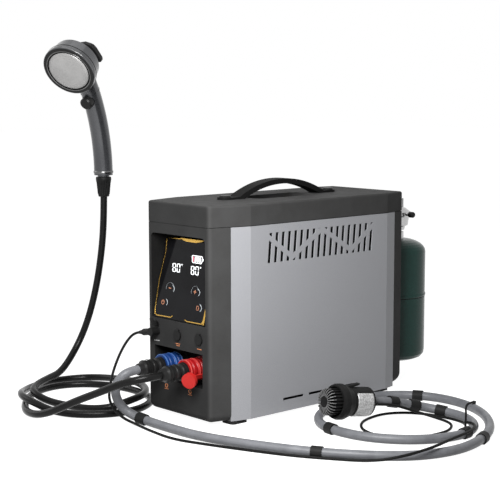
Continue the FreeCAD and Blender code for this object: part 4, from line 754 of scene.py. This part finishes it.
def make_pictograms():
    """Plain pictograms below the connectors, and marks under two of the sockets."""
    shape = bmesh.new()
    for x in (-24.8, 24.2):
        band(shape, arc((x, 41.6), 2.6, 0, 360, 16), 1.0, FRONT, *PRINT)
        band(shape, [(x - 2.4, 47.4), (x - 2.4, 45.0)], 0.8, FRONT, *PRINT)
        band(shape, [(x, 48.6), (x, 45.2)], 0.8, FRONT, *PRINT)
        band(shape, [(x + 2.4, 47.4), (x + 2.4, 45.0)], 0.8, FRONT, *PRINT)
        band(shape, [(x - 4.2, 37.2), (x + 4.2, 37.2)], 0.7, FRONT, *PRINT)
    for x, v in ((0, 101.6), (43.6, 100.6)):
        band(shape, [(x - 4.6, v), (x + 4.6, v)], 0.9, FRONT, *PRINT)
    band(shape, [(-3.4, 99.2), (3.4, 99.2)], 0.9, FRONT, *PRINT)
    piece("front_pictograms", shape, slot="dark_housing", finish="print_amber")


def make_socket_mark():
    shape = bmesh.new()
    band(shape, [(-50.3, 99.6), (-39, 100.4)], 1.0, FRONT, *PRINT)
    piece("socket_mark", shape, slot="dark_housing", finish="print_white")


SCREEN_LEVELS = ((196, 254), (14, 34))   # behind the upper and the lower louvres
SCREEN_LENGTH = 268
SCREEN_REACH = 66.5                      # from the housing's middle to the screen
SCREEN_FOLDS = 54
FOLD_DEPTH = 1.2


def make_vent_screens():
    """Folded sheets that stand inside each vented side, near-black as painted shade behind the louvres."""
    for name, side in (("vent_screen_right", 1), ("vent_screen_left", -1)):
        shape = bmesh.new()
        for low, high in SCREEN_LEVELS:
            folds = []
            for index in range(SCREEN_FOLDS + 1):
                y = SCREEN_LENGTH * (index / SCREEN_FOLDS - 0.5)
                folds.append((side * (SCREEN_REACH + FOLD_DEPTH * (index % 2)), y))
            for (x0, y0), (x1, y1) in zip(folds, folds[1:]):
                corners = [mm(x0, y0, low), mm(x1, y1, low), mm(x1, y1, high), mm(x0, y0, high)]
                shape.faces.new([shape.verts.new(corner) for corner in corners])
        bmesh.ops.remove_doubles(shape, verts=shape.verts, dist=1e-6)
        # The near-black finish, darker than the sheet metal of its slot, is painted shade.
        screen = piece(name, shape, slot="dark_sheet", finish="painted_shade_black")
        thicken(screen, 0.6)


# ---------------------------------------------------------------- shower handset

NUT_X, NUT_Y, NUT_BOTTOM, NUT_HEIGHT = -240.5, -122.5, 277.5, 29
NUT_RIBS, RIB_DEPTH = 20, 0.045
GRIP_BOTTOM, GRIP_BEND = 309, 226
HANDSET = moved(NUT_X, NUT_Y, 0) @ rotated(-65.1, "Z")
FACE = HANDSET @ moved(93.7, 0, 457.9) @ rotated(125.4, "Y")
NOZZLE_RINGS = ((0, 1), (4.5, 6), (9, 12), (13.5, 18), (18, 24), (22.4, 30), (26.2, 36))


def on_grip(degrees):
    """The grip's frame at an angle of its bend, with Z along the grip."""
    angle = math.radians(degrees)
    forward = GRIP_BEND * (1 - math.cos(angle))
    return HANDSET @ moved(forward, 0, GRIP_BOTTOM + GRIP_BEND * math.sin(angle)) @ rotated(degrees, "Y")


def make_spray_plate():
    """A domed plate with rings of small nozzles."""
    shape = bmesh.new()
    dome = [(0, 1.6), (18, 1.35), (26, 0.9), (29.0, 0.2), (29.6, -0.5), (29.6, -1.9), (0, -1.9)]
    turned(shape, dome, FACE, 72)
    for ring, count in NOZZLE_RINGS:
        for index in range(count):
            angle = 2 * math.pi * index / count
            on_dome = 1.3 - ring ** 2 / 1300
            spot = FACE @ moved(ring * math.cos(angle), ring * math.sin(angle), on_dome)
            turned(shape, [(0, -0.3), (0.7, -0.3), (0.5, 0.45), (0, 0.5)], spot, 6)
    plate = piece("spray_plate", shape, "handset", "spray_grey", crease=40)
    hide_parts("spray_face")


def make_head_trim():
    """The grooves in near-black painted shade, the bright edges and the dark band of the head's rim."""
    shape = bmesh.new()
    turned(shape, [(29.5, -2.0), (29.75, -0.9), (31.2, -0.9), (31.45, -2.0)], FACE, 72)
    turned(shape, [(37.9, -9.4), (38.15, -9.1), (38.15, -8.3), (37.9, -8.0)], FACE, 96)
    # Both rings are painted shade: in the groove round the plate and in one at the rim's back.
    piece("plate_groove_shade", shape, "handset", "gunmetal", "painted_shade_black")
    shape = bmesh.new()
    turned(shape, [(31.6, -1.2), (31.7, -0.1), (32.2, 0.25), (32.9, 0.2), (33.2, -0.2)], FACE, 96)
    turned(shape, [(37.2, -1.3), (37.7, -0.9), (38.1, -1.4), (38.15, -2.4), (37.6, -2.8)], FACE, 96)
    piece("rim_rings", shape, "handset", "gunmetal", "dark_chrome")
    shape = bmesh.new()
    turned(shape, [(33.0, -0.5), (33.1, 0.1), (36.5, 0.12), (37.2, -0.35), (37.1, -0.9)], FACE, 96)
    piece("rim_band", shape, "handset", "gunmetal", "dark_gloss")


def make_grip_ring():
    """A bright ring at the grip's foot and a seam line round its neck."""
    shape = bmesh.new()
    ring = [(13.2, -2.2), (14.2, -1.8), (14.5, -0.4), (14.4, 1.0), (13.9, 1.8), (13.4, 2.0)]
    turned(shape, ring, on_grip(1.2), 56)
    band(shape, arc((0, 0), 13.8, 40, 320, 60), 0.5, on_grip(32.6), -0.3, 0.3)
    piece("grip_ring", shape, "handset", "gunmetal", "dark_chrome")


def make_selector_lever():
    """A round boss behind the head, with a bent blade and its thicker edge."""
    shape = bmesh.new()
    boss = [(0, -38.4), (7.6, -38.4), (8.8, -37.4), (8.8, -32.7), (0, -32.7)]
    turned(shape, boss, FACE @ moved(-16, 0, 0), 40)
    blade = [(-21.5, 2), (-23.5, 18), (-20, 27), (-13, 30.5), (3, 34.5), (7, 33.5), (8, 29), (3, 24.5),
             (-6, 20), (-10.5, 6)]
    prism(shape, blade, FACE, -38.2, -32.8)
    edge = [(-19, 27.5), (-13, 31), (3, 35), (7.4, 34), (8, 29.5), (-6, 28.5)]
    prism(shape, edge, FACE, -39.2, -32.5)
    lever = piece("selector_lever", shape, "spray_selector", "gunmetal", "dark_gloss")
    soften(lever, 0.4)
    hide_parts("spray_selector")


def ribbed(angle, height):
    """Ribs along the middle of the hose nut."""
    return 1 + RIB_DEPTH * math.cos(NUT_RIBS * angle) * (0.12 < height / NUT_HEIGHT < 0.8)


def make_ribbed_nut():
    shape = bmesh.new()
    profile = [(5.2, 0.2), (7.4, 0.2), (7.9, 1.2), (8.2, 3.4), (8.3, 3.8), (9.9, 20.6), (10.2, 21.4),
               (10.9, 23.4), (11.2, 24.4), (11.2, 27.6), (10.6, 28.8), (6.0, 28.8)]
    turned(shape, profile, moved(NUT_X, NUT_Y, NUT_BOTTOM), 160, ribbed)
    nut = piece("ribbed_nut", shape, "heater", "cap_rubber", crease=50)
    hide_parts("hose_nut")


# ---------------------------------------------------------------- connectors

PORT_LEVEL = 70
SLEEVE_RINGS = (163.8, 174.6, 188.4)
COUPLING_RINGS = (195.5, 204.5, 212.0, 219.0)


def bead(foot, crest, level, half):
    """The profile of a rounded ring that stands on a foot radius."""
    side, shoulder = crest - 0.15, half - 0.2
    return [(foot, level - half), (side, level - shoulder), (crest, level), (side, level + shoulder),
            (foot, level + half)]


def make_connectors():
    for name, body, x, slot in (("inlet_bands", "inlet_sleeve", -24, "blue_plastic"),
                                ("outlet_bands", "outlet_sleeve", 24, "red_plastic")):
        axis = moved(x, 0, PORT_LEVEL) @ rotated(90, "X")
        shape = bmesh.new()
        for level in SLEEVE_RINGS:
            turned(shape, bead(14.6, 15.4, level, 0.9), axis, 56)
        # The sleeve's ridges are real; their lighter copy of its plastic is a painted highlight.
        piece(name, shape, body, slot, f"{slot}_light")
        shape = bmesh.new()
        for level in COUPLING_RINGS:
            turned(shape, bead(10.6, 11.45, level, 1.0), axis, 48)
        piece(f"{name}_coupling", shape, "heater", "cap_rubber")


# ---------------------------------------------------------------- pump

PUMP_HEADING, PUMP_DIP, PUMP_ROLL = 81.5, 7.2, -93.785
# The pump's own Z axis runs from its strainer to its tail.
LYING = rotated(PUMP_HEADING, "Z") @ rotated(90 + PUMP_DIP, "Y") @ rotated(PUMP_ROLL, "Z")
PUMP = moved(178, -59, 36) @ LYING
PATCH_RADIUS = 18.9 + 0.35     # the pump's own, and the gap to the middle of the patch
PATCH_LEVELS, PATCH_ANGLES = (17, 43), (-40, 78)
PATCH_ROWS, PATCH_COLUMNS = 12, 18
FIN_COUNT = 24
FINS = [rotated(360 * index / FIN_COUNT, "Z") @ rotated(90, "X") for index in range(FIN_COUNT)]


def make_pump_patch():
    """A plain foil patch, bent round the pump."""
    shape = bmesh.new()
    (low, high), (start, end) = PATCH_LEVELS, PATCH_ANGLES
    outline = arc((0, 0), PATCH_RADIUS, start, end, PATCH_COLUMNS)
    grid = []
    for row in range(PATCH_ROWS + 1):
        level = low + (high - low) * row / PATCH_ROWS
        grid.append([shape.verts.new(PUMP @ mm(x, y, level)) for x, y in outline])
    for lower, upper in zip(grid, grid[1:]):
        for (a, b), (c, d) in zip(zip(lower, lower[1:]), zip(upper, upper[1:])):
            shape.faces.new((a, b, d, c))
    patch = piece("pump_patch", shape, slot="pump_plastic", finish="foil")
    thicken(patch, 0.3)


def make_strainer():
    """A crown of fins round a sleeve in near-black painted shade, each fin with a pale painted highlight
    along its edge.
    """
    shape = bmesh.new()
    turned(shape, [(0, -24.3), (5.4, -24.3), (7.2, -23.4), (7.2, -21.7), (0, -21.7)], PUMP, 36)
    turned(shape, [(15.7, -2.4), (17.2, -2.4), (17.2, -5.6), (15.7, -5.6)], PUMP, 72)
    fin = [(6.6, -23.4), (9, -24.3), (13.5, -23.7), (16.6, -21), (17.5, -16.5), (17.5, -2.6),
           (16.0, -2.6), (16.0, -15.5), (14.2, -19.3), (9, -21.3), (6.6, -21.8)]
    for place in FINS:
        prism(shape, fin, PUMP @ place, -0.8, 0.8)
    crown = piece("strainer_crown", shape, slot="pump_plastic")
    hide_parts("pump_strainer")

    shape = bmesh.new()
    sleeve = [(5, -20.6), (9, -20.2), (13.3, -18.2), (15.3, -14.9), (15.3, -2.6), (14.9, -2.6),
              (14.9, -14.7), (13.0, -17.8), (9, -19.8), (5, -20.2)]
    turned(shape, sleeve, PUMP, 48)
    # The sleeve's near-black is painted shade inside the crown.
    piece("strainer_shade_sleeve", shape, slot="pump_plastic", finish="painted_shade_black")

    shape = bmesh.new()
    bar = [(7.4, -24.9), (9.2, -24.9), (13.8, -24.3), (17.0, -21.5), (17.8, -18.0), (17.2, -17.6),
           (16.2, -20.6), (13.4, -23.2), (9.0, -23.9), (7.4, -23.9)]
    for place in FINS:
        prism(shape, bar, PUMP @ place, -0.5, 0.5)
    # The pale bars are painted highlights along the fins' edges.
    piece("strainer_edge_highlights", shape, slot="pump_plastic", finish="painted_highlight_plastic")


def make_hook():
    """The curved hook that stands on top of the pump."""
    shape = bmesh.new()
    outline = [(19.0, 5), (20.6, 6.5), (22.3, 16), (24.0, 25.5), (24.6, 28), (22.6, 28.6), (20.9, 24),
               (19.3, 17), (19.0, 12)]
    prism(shape, outline, PUMP @ rotated(-86.2, "Z") @ rotated(90, "X"), -3.4, 3.4)
    hook = piece("hook_blade", shape, slot="pump_plastic")
    soften(hook, 0.6, 3)
    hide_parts("pump_hook")


# ---------------------------------------------------------------- cable tie and bottle

def make_tie_tail():
    """The stiff tail of the tie that holds the cable to the inner turn of the hose."""
    place = moved(304, 40, 12) @ rotated(47.95, "Z") @ rotated(90, "X")
    shape = bmesh.new()
    line = [(0, -2), (0.4, 6), (0.6, 14), (0.2, 21), (0.9, 25), (3.0, 27.6), (7.4, 29.4), (10.8, 29.8)]
    band(shape, line, 2.6, place, -0.7, 0.7)
    prism(shape, [(8.2, 26.6), (12.6, 27.6), (13.0, 31.2), (8.6, 31.6)], place, -1.4, 1.4)
    tail = piece("tie_tail", shape, slot="strap_black")
    soften(tail, 0.35)


def make_bottle_seam():
    """A raised seam round the bottle's middle, and the dark line under it."""
    axis = moved(0, 239, 0)
    shape = bmesh.new()
    seam = [(48.5, 122.5), (49.4, 122.9), (50.0, 124.1), (50.0, 125.9), (49.4, 127.1), (48.5, 127.5)]
    turned(shape, seam, axis, 96)
    piece("bottle_seam", shape, "gas_bottle", "bottle_green")
    shape = bmesh.new()
    turned(shape, [(48.8, 121.4), (49.1, 121.6), (49.1, 122.4), (48.8, 122.7)], axis, 96)
    piece("seam_shadow", shape, "gas_bottle", "bottle_green", "painted_shade_black")


for make in (make_digits, make_battery_bar, make_keys, make_key_arcs, make_trim, make_pictograms,
             make_socket_mark, make_vent_screens, make_spray_plate, make_head_trim, make_grip_ring,
             make_selector_lever, make_ribbed_nut, make_connectors, make_pump_patch, make_strainer,
             make_hook, make_tie_tail, make_bottle_seam):
    make()
